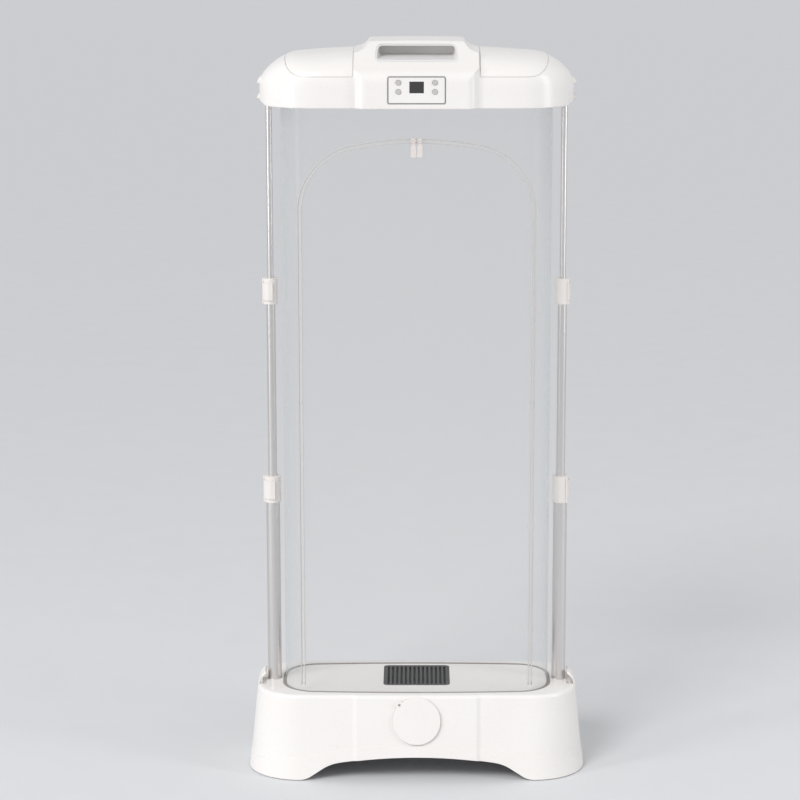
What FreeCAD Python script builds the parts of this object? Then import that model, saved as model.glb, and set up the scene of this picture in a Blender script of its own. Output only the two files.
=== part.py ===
"""A portable clothes dryer: a blower base, two telescopic poles, a clear film bag and a hood.

Millimetres. X runs to the viewer's right, Y to the back, Z up; the origin is on the floor under the centre.
"""
import FreeCAD, Part
import Sketcher
import math
import os
import re

V = FreeCAD.Vector
UP = V(0, 0, 1)

SIZES = {
    # base housing
    "base_width": 620, "base_depth": 260, "base_top": 155, "ground_gap": 1.5,
    "base_corner": 96, "corner_loss": 16, "end_tilt": 5.5, "face_tilt": 8,
    "base_wall": 3, "top_plate": 4, "base_edge_round": 7,
    "skirt_flare": 2, "skirt_step": 0.8, "crease_mid": 64, "crease_end": 45, "crease_tip": 28,
    "crease_set": 120, "arch_height": 43, "shoulder_height": 30, "shoulder_run": 47,
    "foot_length": 105, "arch_round": 75, "toe_round": 40,
    "bump_half": 107, "bump_flank": 11, "bump_rise": 3,
    # clearances
    "fit_gap": 0.05, "run_gap": 0.08, "part_gap": 0.3,
    # film bag and its two frames
    "film_set_depth": 43.5, "film_corner": 58, "film_side_round": 2900,
    "film_end_round": 600, "film_thick": 0.6, "frame_width": 4.7, "ledge_drop": 6, "ledge_thick": 3,
    "ledge_width": 6, "well_wall": 2, "lower_frame_rise": 0.5, "upper_frame_height": 5.5,
    # deck and outlet
    "deck_thick": 3, "deck_skirt": 3, "outlet_width": 122, "outlet_depth": 121, "outlet_shift": 15,
    "outlet_corner": 9, "grille_thick": 4, "slot_width": 4, "slot_pitch": 8, "slot_count": 14,
    "slot_length": 104,
    # blower column
    "duct_wall": 4, "duct_rim": 6, "floor_clear": 3.5, "floor_thick": 2.5, "foot_floor": 3,
    "floor_step": 8, "floor_toe": 7, "fan_height": 44, "fan_bore": 56, "rotor_radius": 54,
    "rotor_hub": 22, "rotor_height": 20, "blade_thick": 2.2, "blade_pitch": 38, "blade_count": 7,
    "motor_radius": 19, "motor_height": 14, "shaft_radius": 3, "shaft_length": 16, "arm_width": 7,
    "arm_height": 4, "fin_thick": 1.6, "fin_pitch": 9, "fin_count": 12, "fin_height": 26, "fin_lift": 8,
    "intake_size": 80, "intake_lip": 5, "intake_slots": 8, "filter_thick": 3, "filter_size": 77,
    "filter_bar": 2, "filter_pitch": 9, "filter_cells": 8,
    # power board and mains inlet
    "board_width": 84, "board_depth": 66, "board_thick": 1.6, "board_shift": 115, "stud_radius": 3,
    "stud_height": 8, "relay_size": 19, "relay_height": 15, "choke_radius": 11, "choke_height": 18,
    "capacitor_radius": 8, "capacitor_height": 26, "inlet_shift": 150, "inlet_height": 95,
    "inlet_width": 28, "inlet_tall": 20, "inlet_deep": 20, "inlet_flange": 5,
    "inlet_flange_thick": 1.6, "socket_width": 20, "socket_tall": 11, "socket_deep": 15,
    "contact_radius": 1.2, "contact_spacing": 8.6, "contact_length": 10,
    # feet, posts and screws
    "pad_radius": 14, "pad_set": 48, "pad_set_depth": 58, "post_radius": 4.5, "post_set": 38,
    "post_set_depth": 36, "screw_radius": 1.9, "screw_head": 3.6, "screw_head_thick": 1.8,
    "screw_length": 16,
    # accessory port on the front face
    "port_height": 109, "port_bore": 35, "port_length": 12, "port_sleeve": 3, "port_lip": 4,
    "port_lip_thick": 2, "disc_radius": 43.5, "disc_thick": 2.8, "disc_edge_round": 1,
    "disc_lift": 1.4, "ear_x": 31.7, "ear_y": 30.6, "ear_radius": 6.6, "port_pin": 1.6,
    "port_pin_head": 2.2, "port_pin_head_thick": 0.6,
    # flip latches, the pockets they stand in and their pins
    "latch_half": 22, "latch_set": 18.5, "latch_pin_drop": 23, "latch_pin": 1.5, "latch_knuckle": 3.6,
    "latch_rise": 18, "latch_lean": 2.3, "latch_brow_x": 5.8, "latch_brow_z": 9, "latch_tip_x": 14.6,
    "latch_thick": 3.6, "hook_tall": 3, "hook_reach": 2.6, "latch_corner": 9, "latch_pin_seat": 3,
    "pocket_deep": 33, "pocket_drop": 31, "pocket_wall": 2.5, "pocket_half": 36, "tongue_half": 12.5,
    "tongue_drop": 3, "tongue_reach": 9,
    # poles
    "pole_set": 47, "pole_gap": 21, "lower_radius": 12.5, "lower_bore": 11.2, "middle_radius": 8,
    "middle_bore": 6.8, "upper_radius": 5.5, "upper_bore": 4.5, "pole_foot": 35, "lower_end": 525,
    "middle_overlap": 85, "middle_end": 890, "upper_overlap": 60, "tube_seat": 30, "socket_radius": 16,
    "socket_gap": 3.5, "socket_flange": 40, "socket_flange_thick": 4, "middle_bush": 25,
    "upper_bush": 20,
    # pole clamps
    "lower_grip": 32.5, "lower_clamp_height": 49, "lower_collar": 14.5, "upper_grip": 30,
    "upper_clamp_height": 46.5, "upper_collar": 12.4, "clamp_pin_out": 0.9, "knuckle_radius": 1.9,
    "clamp_pin": 0.9, "lever_thick": 2.2, "lever_sweep": 104, "lever_margin": 7.5, "lever_tip": 1.6,
    "left_clamp_turn": 180, "right_clamp_turn": 315, "slit_width": 1.6,
    # hood
    "hood_crown": 1322, "hood_rise": 100, "hood_over": 15, "hood_set_depth": 13, "hood_corner": 104,
    "crown_round": 2450, "shoulder_set": 64, "shoulder_drop": 55, "shoulder_round": 106,
    "dome_share": 0.6, "hood_wall": 4, "block_half": 97, "block_flank": 12, "block_stand": 12,
    "block_root": 3, "block_corner": 20, "block_rise": 12, "brow_set": 13, "block_face_tall": 59,
    "block_slope_end": 52, "block_round": 24, "block_flank_round": 26,
    "keeper_half": 22, "keeper_reach": 4.8, "keeper_low": 5, "keeper_tip": 10.2, "keeper_shelf": 18.6,
    "keeper_step": 1, "keeper_roof": 35.7, "brow_swell": 1.3, "brow_rise": 8.6, "brow_run": 8,
    "brow_lift": 19, "rim_run": 13.6,
    "cover_inset": 14, "cover_end": 47, "cover_lift": 55, "cover_thick": 1.8, "cover_round": 34,
    # carry handle
    "grip_cheek": 12.6, "grip_roof": 7, "grip_tall": 24, "grip_back": 32, "grip_front": 112,
    "grip_round": 12, "grip_lower_round": 5, "grip_back_round": 4, "grip_slope": 8, "grip_draft": 7,
    "grip_liner": 2,
    # control panel
    "panel_width": 97, "panel_tall": 44, "panel_lift": 33, "panel_thick": 1.6, "panel_gap": 2.3,
    "panel_sink": 1.2, "panel_proud": 0.4, "panel_round": 2, "panel_seat": 2, "window_width": 25,
    "window_tall": 20, "window_lift": 5, "window_thick": 1.6, "button_radius": 4.5, "button_x": 31.6,
    "button_upper": 13.3, "button_lower": -2.5, "button_proud": 1.2, "button_flange": 0.8,
    "button_flange_thick": 1.2, "button_stem": 1.5, "button_stem_length": 2, "button_travel": 0.8,
    "logic_width": 88, "logic_tall": 36, "logic_thick": 1.6, "logic_back": 10, "switch_size": 6,
    "panel_boss": 2.2, "panel_boss_x": 41, "panel_boss_z": 16,
    # hood liner and hanger rail
    "liner_lift": 6, "liner_thick": 3, "chamber_set": 20, "chamber_set_depth": 16.5,
    "chamber_tall": 34, "chamber_round": 30, "boss_radius": 8.4, "boss_height": 31, "rail_radius": 6,
    "rail_lift": 15, "rail_cup": 10, "rail_cup_wall": 3,
    # zip
    "zip_set": 35, "zip_drop": 59, "zip_crown_round": 586, "zip_corner": 118, "zip_width": 8,
    "zip_foot": 166, "zip_thick": 0.8, "zip_lift": 0.2, "slider_width": 8, "slider_tall": 9,
    "slider_thick": 3, "slider_shift": 5.7, "bail_radius": 0.9, "bail_drop": 3,
    "pull_width": 9.2, "pull_length": 26, "pull_thick": 1.6, "pull_eye": 2.4,
}

# places that follow from the sizes, each a sum of sizes and of other places
PLACES = {
    "pole_x": "base_width/2 - pole_set", "film_half_width": "pole_x - pole_gap",
    "film_half_depth": "base_depth/2 - film_set_depth", "ledge_top": "base_top - ledge_drop",
    "foot_start": "base_width/2 - foot_length", "arch_shoulder": "foot_start - shoulder_run",
    "crease_reach": "base_width/2 - crease_set", "floor_half": "arch_shoulder - floor_step",
    "foot_floor_start": "foot_start + floor_toe", "floor_height": "arch_height + floor_clear",
    "pad_shift_x": "base_width/2 - pad_set", "pad_shift_y": "base_depth/2 - pad_set_depth",
    "post_x": "pole_x - post_set", "post_y": "base_depth/2 - post_set_depth",
    "latch_pin_x": "base_width/2 - latch_set", "latch_pin_z": "base_top - latch_pin_drop",
    "latch_side": "latch_pin_x + latch_knuckle", "latch_top": "base_top + latch_rise",
    "pocket_back": "base_width/2 - pocket_deep", "pocket_floor": "base_top - pocket_drop",
    "middle_foot": "lower_end - middle_overlap", "upper_foot": "middle_end - upper_overlap",
    "lower_clamp_z": "lower_end - lower_grip", "upper_clamp_z": "middle_end - upper_grip",
    "hood_rim": "hood_crown - hood_rise", "hood_half": "pole_x + hood_over",
    "hood_half_depth": "base_depth/2 - hood_set_depth", "shoulder_x": "hood_half - shoulder_set",
    "block_depth": "hood_half_depth + block_stand", "block_top": "hood_crown + block_rise",
    "block_top_half": "block_half - brow_set", "block_face_top": "hood_rim + block_face_tall",
    "cover_inner": "block_half + cover_inset", "cover_outer": "hood_half - cover_end",
    "cover_seam": "hood_rim + cover_lift", "grip_half": "block_top_half - grip_cheek",
    "grip_high": "block_top - grip_roof", "grip_low": "grip_high - grip_tall",
    "panel_z": "hood_rim + panel_lift", "liner_low": "hood_rim + liner_lift",
    "chamber_top": "liner_low + chamber_tall", "chamber_half": "film_half_width - chamber_set",
    "chamber_half_depth": "film_half_depth - chamber_set_depth", "rail_z": "liner_low + rail_lift",
    "upper_end": "liner_low + tube_seat", "hood_post_y": "post_y - hood_wall - post_radius",
    "zip_half": "film_half_width - zip_set", "zip_top": "hood_rim - zip_drop",
}

doc = FreeCAD.newDocument("clothes_dryer")
sheet = doc.addObject("Spreadsheet::Sheet", "sizes")
for row, (alias, number) in enumerate(SIZES.items(), start=1):
    sheet.set(f"A{row}", alias.replace("_", " "))
    sheet.set(f"B{row}", str(number))
    sheet.setAlias(f"B{row}", alias)
doc.recompute()

NODES = []


def mm(name):
    """The number that a cell of the sheet holds now, or what a place comes to."""
    if name in SIZES:
        return float(sheet.get(name))
    total, sign = 0.0, 1
    for term in PLACES[name].split():
        if term in ("+", "-"):
            sign = 1 if term == "+" else -1
            continue
        part, _, share = term.partition("/")
        total += sign * mm(part) / float(share or 1)
    return total


def linked(formula):
    """A formula of sizes and places, written as the document's expressions need it."""
    def spelled(found):
        word = found[0]
        if word in SIZES:
            return f"sizes.{word}"
        return f"({linked(PLACES[word])})" if word in PLACES else word
    return re.sub(r"[a-z_]{3,}", spelled, str(formula))


# ---------------------------------------------------------------- building blocks
def bound(thing, **formulas):
    """Ties properties to the sheet; a double underscore in a name stands for a dot."""
    for name, formula in formulas.items():
        thing.setExpression(name.replace("__", "."), linked(formula))
    return thing


def placed(thing, x=0, y=0, z=0):
    return bound(thing, Placement__Base__x=x, Placement__Base__y=y, Placement__Base__z=z)


def block(label, length, width, height, x=0, y=0, z=0):
    """A box centred on x and y that stands on z."""
    made = doc.addObject("Part::Box", label)
    bound(made, Length=length, Width=width, Height=height)
    return placed(made, f"({x}) - ({length}) / 2", f"({y}) - ({width}) / 2", z)


TURNS = {"X": (V(0, 1, 0), 90), "Y": (V(1, 0, 0), -90), "Z": (UP, 0)}


def rod(label, radius, length, x=0, y=0, z=0, along="Z"):
    """A cylinder that starts at x, y, z and runs along an axis."""
    made = doc.addObject("Part::Cylinder", label)
    bound(made, Radius=radius, Height=length)
    made.Placement = FreeCAD.Placement(V(), FreeCAD.Rotation(*TURNS[along]))
    return placed(made, x, y, z)


def joined(label, *shapes):
    made = doc.addObject("Part::MultiFuse", label)
    made.Shapes = list(shapes)
    return made


def cut(label, base, *tools):
    made = doc.addObject("Part::Cut", label)
    made.Base = base
    made.Tool = tools[0] if len(tools) == 1 else joined(label + "_cutters", *tools)
    return made


def shared(label, *shapes):
    made = doc.addObject("Part::MultiCommon", label)
    made.Shapes = list(shapes)
    return made


def free_form(label, shape):
    made = doc.addObject("Part::Feature", label)
    made.Shape = shape
    return made


def group(label, *shapes):
    """Separate solids that are one node, such as a set of screws."""
    made = doc.addObject("Part::Compound", label)
    made.Links = list(shapes)
    return made


def mirrored(label, source, normal=V(1, 0, 0)):
    made = doc.addObject("Part::Mirroring", label)
    made.Source = source
    made.Normal = normal
    return made


def new_body(label):
    return doc.addObject("PartDesign::Body", label)


def sketch(body, plane="XY_Plane", lift=0):
    made = body.newObject("Sketcher::SketchObject", body.Name + "_outline")
    origin_plane = next(f for f in body.Origin.OriginFeatures if f.Role == plane)
    made.AttachmentSupport = [(origin_plane, "")]
    made.MapMode = "FlatFace"
    return bound(made, AttachmentOffset__Base__z=lift)


def rule(outline, kind, *where, formula=None, guess=1.0):
    """One sketch constraint, tied to the sheet where it has a size."""
    if formula is None:
        outline.addConstraint(Sketcher.Constraint(kind, *where))
        return
    index = outline.addConstraint(Sketcher.Constraint(kind, *where, guess))
    outline.setExpression(f"Constraints[{index}]", linked(formula))


START, END, CENTRE = 1, 2, 3
ORIGIN_LINE_X, ORIGIN_LINE_Y = -1, -2


def circle(outline, radius, x=0, y=0):
    made = outline.addGeometry(Part.Circle(V(), UP, 1))
    rule(outline, "Radius", made, formula=radius)
    rule(outline, "DistanceX", ORIGIN_LINE_X, START, made, CENTRE, formula=x)
    rule(outline, "DistanceY", ORIGIN_LINE_X, START, made, CENTRE, formula=y)


def polygon(outline, points):
    """A closed outline whose corners are formulas."""
    count = len(points)
    rough = [V(math.cos(2 * math.pi * k / count), math.sin(2 * math.pi * k / count)) for k in range(count)]
    first = outline.GeometryCount
    for k in range(count):
        outline.addGeometry(Part.LineSegment(rough[k], rough[(k + 1) % count]))
    for k, (x, y) in enumerate(points):
        rule(outline, "Coincident", first + k - 1 if k else first + count - 1, END, first + k, START)
        rule(outline, "DistanceX", ORIGIN_LINE_X, START, first + k, START, formula=x)
        rule(outline, "DistanceY", ORIGIN_LINE_X, START, first + k, START, formula=y)


def rectangle(outline, width, height, x=0, y=0):
    left, right = f"({x}) - ({width}) / 2", f"({x}) + ({width}) / 2"
    low, high = f"({y}) - ({height}) / 2", f"({y}) + ({height}) / 2"
    polygon(outline, [(left, low), (right, low), (right, high), (left, high)])


def oval(outline, grow=0):
    """The bag's plan: bowed sides and bulged ends that run smoothly into round corners, grown by a gap."""
    half_width, half_depth = mm("film_half_width"), mm("film_half_depth")
    corner, side, end = mm("film_corner"), mm("film_side_round"), mm("film_end_round")
    end_centre = V(half_width - end, 0)
    side_centre = V(0, half_depth - side)
    span = end_centre - side_centre
    along = ((side - corner) ** 2 - (end - corner) ** 2 + span.Length ** 2) / (2 * span.Length)
    across = math.sqrt((side - corner) ** 2 - along ** 2)
    unit = V(span).normalize()
    corner_centre = side_centre + unit * along + V(unit.y, -unit.x) * across
    if corner_centre.x < 0:
        corner_centre = side_centre + unit * along + V(-unit.y, unit.x) * across
    low = math.atan2(corner_centre.y, corner_centre.x - end_centre.x)
    high = math.atan2(corner_centre.y - side_centre.y, corner_centre.x)
    quarter = [(end_centre, end, -low, low), (corner_centre, corner, low, high),
               (side_centre, side, high, math.pi - high),
               (V(-corner_centre.x, corner_centre.y), corner, math.pi - high, math.pi - low)]
    arcs = quarter + [(-centre, radius, start + math.pi, stop + math.pi)
                      for centre, radius, start, stop in quarter]
    first = outline.GeometryCount
    for centre, radius, start, stop in arcs:
        outline.addGeometry(Part.ArcOfCircle(Part.Circle(centre, UP, radius), start, stop))
    for k in range(len(arcs)):
        rule(outline, "Tangent", first + k, END, first + (k + 1) % len(arcs), START)
    rounds = ["film_end_round", "film_corner", "film_side_round", "film_corner"] * 2
    for k, name in enumerate(rounds):
        rule(outline, "Radius", first + k, formula=f"{name} + ({grow})", guess=arcs[k][1])
    ends, sides = "film_end_round - film_half_width", "film_side_round - film_half_depth"
    for k, far in ((0, first), (4, first + 4)):
        rule(outline, "PointOnObject", far, CENTRE, ORIGIN_LINE_X)
        order = (far, CENTRE, ORIGIN_LINE_X, START) if k == 0 else (ORIGIN_LINE_X, START, far, CENTRE)
        rule(outline, "DistanceX", *order, formula=ends, guess=end - half_width)
    for k, far in ((2, first + 2), (6, first + 6)):
        rule(outline, "PointOnObject", far, CENTRE, ORIGIN_LINE_Y)
        order = (far, CENTRE, ORIGIN_LINE_X, START) if k == 2 else (ORIGIN_LINE_X, START, far, CENTRE)
        rule(outline, "DistanceY", *order, formula=sides, guess=side - half_depth)


def pad(body, outline, length, both_ways=False):
    made = body.newObject("PartDesign::Pad", body.Name + "_pad")
    made.Profile = outline
    made.SideType = "Symmetric" if both_ways else "One side"
    return bound(made, Length=length)


def edges_along(shape, direction, keep=lambda middle: True):
    """Names of the straight edges that run along a direction and whose middle passes the test."""
    names = []
    for number, edge in enumerate(shape.Edges, start=1):
        if edge.Curve.TypeId != "Part::GeomLine" or not keep(edge.CenterOfGravity):
            continue
        if abs(edge.Curve.Direction * direction) > 0.999:
            names.append(f"Edge{number}")
    return names


def rounded(body, radius, direction, keep=lambda middle: True):
    """Rounds the upright edges of a body's last feature."""
    body.recompute(True)
    base = body.Tip
    names = edges_along(base.Shape, direction, keep)
    made = body.newObject("PartDesign::Fillet", body.Name + "_round")
    made.Base = (base, names)
    return bound(made, Radius=radius)


def bar(label, points, length, plane="XZ_Plane", x=0, y=0, z=0):
    """An outline in an upright plane, thickened both ways from it."""
    body = new_body(label)
    outline = sketch(body, plane)
    polygon(outline, points)
    pad(body, outline, length, both_ways=True)
    return placed(body, x, y, z)


def plate(label, width, tall, thick, corner, x=0, y=0, z=0):
    """A flat slab with round corners that stands on z."""
    body = new_body(label)
    outline = sketch(body)
    rectangle(outline, width, tall)
    pad(body, outline, thick)
    rounded(body, corner, UP)
    return placed(body, x, y, z)


def ring(label, outer, inner, height, x=0, y=0, z=0):
    body = new_body(label)
    outline = sketch(body)
    circle(outline, outer)
    circle(outline, inner)
    pad(body, outline, height)
    return placed(body, x, y, z)


def oval_slab(label, outer, height, z, inner=None):
    """A slab of the bag's plan grown by a gap, or a band of it where an inner gap is given."""
    body = new_body(label)
    outline = sketch(body)
    oval(outline, outer)
    if inner is not None:
        oval(outline, inner)
    pad(body, outline, height)
    return placed(body, 0, 0, z)


def node(made):
    """Keeps an object as one of the dryer's nodes."""
    NODES.append(made)
    return made


def arc_edge(start, middle, end):
    return Part.Arc(start, middle, end).toShape()


def symmetric_wire(quarter):
    """A closed wire from a quarter outline: a list of (start, end) or (start, middle, end) in X and Y."""
    edges = []
    for sign_x, sign_y, backward in ((1, 1, False), (-1, 1, True), (-1, -1, False), (1, -1, True)):
        for piece in (reversed(quarter) if backward else quarter):
            points = [V(p.x * sign_x, p.y * sign_y, p.z) for p in (reversed(piece) if backward else piece)]
            edges.append(Part.makeLine(*points) if len(points) == 2 else arc_edge(*points))
    return Part.Wire(edges)


def flank(flat, width, low, rise, z):
    """The soft step from a raised middle section down to the face beside it, as two arcs."""
    radius = (width ** 2 + rise ** 2) / (4 * rise)
    half_turn = math.atan2(rise, width)
    reach, climb = radius * math.sin(half_turn), radius * (1 - math.cos(half_turn))
    foot, head = V(flat + width, low, z), V(flat, low + rise, z)
    waist = (foot + head) / 2
    return [(foot, V(flat + width - reach, low + climb, z), waist),
            (waist, V(flat + reach, low + rise - climb, z), head)]


# ---------------------------------------------------------------- base: housing
FACE_Y = ("(base_depth / 2 - skirt_flare - {height} * tan(face_tilt) + {rise} + ({lift}) * cos(face_tilt)"
          " - ({up}) * sin(face_tilt))")


def on_face(thing, height, x=0, up=0, lift=0, back=False):
    """Stands an object on the leaning front or back face, its own Z pointing out of that face."""
    depth = FACE_Y.format(height=height, rise=0 if back else "bump_rise", lift=lift, up=up)
    lean = 90 - mm("face_tilt")
    thing.Placement = FreeCAD.Placement(V(), FreeCAD.Rotation(V(1, 0, 0), -lean if back else lean))
    return placed(thing, x, depth if back else f"-{depth}",
                  f"{height} + ({up}) * cos(face_tilt) + ({lift}) * sin(face_tilt)")


def base_section(z, inset):
    """One level of the housing: round corners, and a middle section that stands proud front and back."""
    shrink = mm("skirt_flare") + inset
    half_width = mm("base_width") / 2 - z * math.tan(math.radians(mm("end_tilt"))) - shrink
    half_depth = mm("base_depth") / 2 - z * math.tan(math.radians(mm("face_tilt"))) - shrink
    corner = mm("base_corner") - mm("corner_loss") * z / mm("base_top") - inset
    side, front, bulge = half_width - corner, half_depth - corner, corner * math.sqrt(0.5)
    flat, width, rise = mm("bump_half"), mm("bump_flank"), mm("bump_rise")
    return symmetric_wire([
        (V(half_width, 0, z), V(half_width, front, z)),
        (V(half_width, front, z), V(side + bulge, front + bulge, z), V(side, half_depth, z)),
        (V(side, half_depth, z), V(flat + width, half_depth, z)),
        *flank(flat, width, half_depth, rise, z),
        (V(flat, half_depth + rise, z), V(0, half_depth + rise, z)),
    ])


def base_loft(low, high, low_inset, high_inset):
    return Part.makeLoft([base_section(low, low_inset), base_section(high, high_inset)], True, True)


def base_outside():
    solid = base_loft(mm("ground_gap"), mm("base_top"), 0, 0)
    top = [edge for edge in solid.Edges if all(abs(v.Z - mm("base_top")) < 1e-6 for v in edge.Vertexes)]
    return solid.makeFillet(mm("base_edge_round"), top)


def run_through(*edges):
    """A solid with this outline in X and Z that runs through the dryer from front to back."""
    wire = Part.Wire(edges)
    reach = 2 * mm("base_depth")
    wire.translate(V(0, -reach, 0))
    return Part.Face(wire).extrude(V(0, 2 * reach, 0))


def skirt_band():
    """What lies under the soft crease, which follows the arch and then drops towards the ends."""
    reach, front, tip = mm("crease_reach"), mm("crease_end"), mm("crease_tip")
    far, low = mm("base_width"), -mm("base_top")
    slope = (front - tip) / mm("crease_set")
    end = front - slope * (far - reach)
    return run_through(
        arc_edge(V(-reach, 0, front), V(0, 0, mm("crease_mid")), V(reach, 0, front)),
        Part.makeLine(V(reach, 0, front), V(far, 0, end)), Part.makeLine(V(far, 0, end), V(far, 0, low)),
        Part.makeLine(V(far, 0, low), V(-far, 0, low)), Part.makeLine(V(-far, 0, low), V(-far, 0, end)),
        Part.makeLine(V(-far, 0, end), V(-reach, 0, front)))


def arch_cutter():
    """The opening between the feet: a shallow arch that drops to the floor with soft corners."""
    shoulder, height, foot = mm("arch_shoulder"), mm("shoulder_height"), mm("foot_start")
    low, ground, toe = -mm("base_top"), mm("ground_gap"), mm("toe_round")
    drop = math.atan2(height, foot - shoulder)
    centre = V(foot - ground / math.tan(drop) + toe * math.tan(drop / 2), 0, ground + toe)
    begin, middle, end = [centre - V(math.sin(turn), 0, math.cos(turn)) * toe for turn in (drop, drop / 2, 0)]
    left = [V(-p.x, 0, p.z) for p in (begin, middle, end)]
    solid = run_through(
        arc_edge(V(-shoulder, 0, height), V(0, 0, mm("arch_height")), V(shoulder, 0, height)),
        Part.makeLine(V(shoulder, 0, height), begin), arc_edge(begin, middle, end),
        Part.makeLine(end, V(end.x, 0, low)), Part.makeLine(V(end.x, 0, low), V(-end.x, 0, low)),
        Part.makeLine(V(-end.x, 0, low), left[2]), arc_edge(*reversed(left)),
        Part.makeLine(left[0], V(-shoulder, 0, height)))
    corners = [edge for edge in solid.Edges
               if abs(edge.CenterOfGravity.y) < 1 and abs(edge.CenterOfGravity.z - height) < 1]
    return solid.makeFillet(mm("arch_round"), corners)


LATCH_PIN_END = "(latch_half + 2 * part_gap + latch_pin_seat)"


def latch_pocket(side):
    """The walls of one latch's pocket, and what is cut out of them: a tongue and two cheeks stay."""
    middle = f"{side} * (base_width / 2 + pocket_back"
    walls = block("pocket_walls", "base_width / 2 - pocket_back + pocket_wall",
                  "2 * (pocket_half + pocket_wall)", "base_top - pocket_floor + pocket_wall",
                  f"{middle} - pocket_wall) / 2", 0, "pocket_floor - pocket_wall")
    relief = rod("socket_relief", "socket_radius + part_gap", "base_top - top_plate", f"{side} * pole_x")
    hollow = block("latch_pocket", "base_width / 2 - pocket_back", "2 * pocket_half", "base_top",
                   f"{middle}) / 2", 0, "pocket_floor")
    tongue = block("pocket_tongue", "tongue_reach", "2 * tongue_half", "pocket_drop - tongue_drop",
                   f"{side} * (pocket_back + tongue_reach / 2)", 0, "pocket_floor")
    side_gap = "latch_half + 2 * part_gap"
    cheeks = [block("pocket_cheek", "latch_side - pocket_back", f"pocket_half - ({side_gap})",
                    "latch_pin_z + latch_knuckle - pocket_floor", f"{side} * (latch_side + pocket_back) / 2",
                    f"{way} * (pocket_half + {side_gap}) / 2", "pocket_floor") for way in (-1, 1)]
    pin_hole = rod("latch_pin_hole", "latch_pin", f"2 * {LATCH_PIN_END}", f"{side} * latch_pin_x",
                   f"-{LATCH_PIN_END}", "latch_pin_z", "Y")
    return cut("pocket_stock", walls, relief), [cut("pocket_cutter", hollow, tongue, *cheeks), pin_hole]


def make_base_housing():
    outside = free_form("housing_outside", base_outside())
    skirt = free_form("housing_skirt", base_loft(
        mm("ground_gap"), mm("crease_mid") + mm("base_wall"), -mm("skirt_flare"), -mm("skirt_step"))
        .common(skirt_band()))
    inside = free_form("housing_inside", base_loft(
        -mm("base_wall"), mm("base_top") - mm("top_plate"), mm("base_wall"), mm("base_wall")))
    under_plate = "base_top - top_plate"
    kept = [
        oval_slab("well_wall", "frame_width + 2 * part_gap + well_wall",
                  f"{under_plate} - ledge_top + ledge_thick", "ledge_top - ledge_thick",
                  inner="frame_width + 2 * part_gap"),
        oval_slab("well_ledge", "frame_width + 2 * part_gap + well_wall", "ledge_thick",
                  "ledge_top - ledge_thick", inner="-ledge_width"),
    ]
    for side_x in ("post_x", "-post_x"):
        for side_y in ("post_y", "-post_y"):
            kept.append(rod("housing_post", "post_radius", "base_top - foot_floor - floor_thick",
                            side_x, side_y, "foot_floor + floor_thick"))
    cutters = [free_form("housing_arch", arch_cutter()),
               oval_slab("well_opening", "frame_width + 2 * part_gap", "base_edge_round * 2", "ledge_top")]
    for side in (1, -1):
        stock, pocket_cutters = latch_pocket(side)
        kept.append(stock)
        cutters += pocket_cutters
        cutters.append(rod("pole_hole", "lower_radius + fit_gap", "base_edge_round * 2",
                           f"{side} * pole_x", 0, "base_top - base_edge_round"))
        for side_y in ("post_y", "-post_y"):
            cutters.append(rod("screw_hole", "screw_radius + fit_gap", "screw_length",
                               f"{side} * post_x", side_y, "foot_floor"))
    port_hole = rod("port_hole", "port_bore + port_sleeve + fit_gap", "port_length * 2")
    pin_hole = rod("port_pin_hole", "port_pin + fit_gap", "base_wall * 2")
    inlet_hole = group("inlet_hole", block("inlet_cut", "inlet_width + 2 * fit_gap",
                                           "inlet_tall + 2 * fit_gap", "inlet_deep"))
    cutters += [on_face(port_hole, "port_height", lift="-port_length"),
                on_face(pin_hole, "port_height", "-ear_x", "ear_y", "-base_wall"),
                on_face(inlet_hole, "inlet_height", "inlet_shift", lift="-inlet_deep / 2", back=True)]
    room = cut("housing_room", inside, *kept)
    skin = joined("housing_skin", outside, skirt)
    node(cut("base_housing", skin, room, *cutters))


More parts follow.
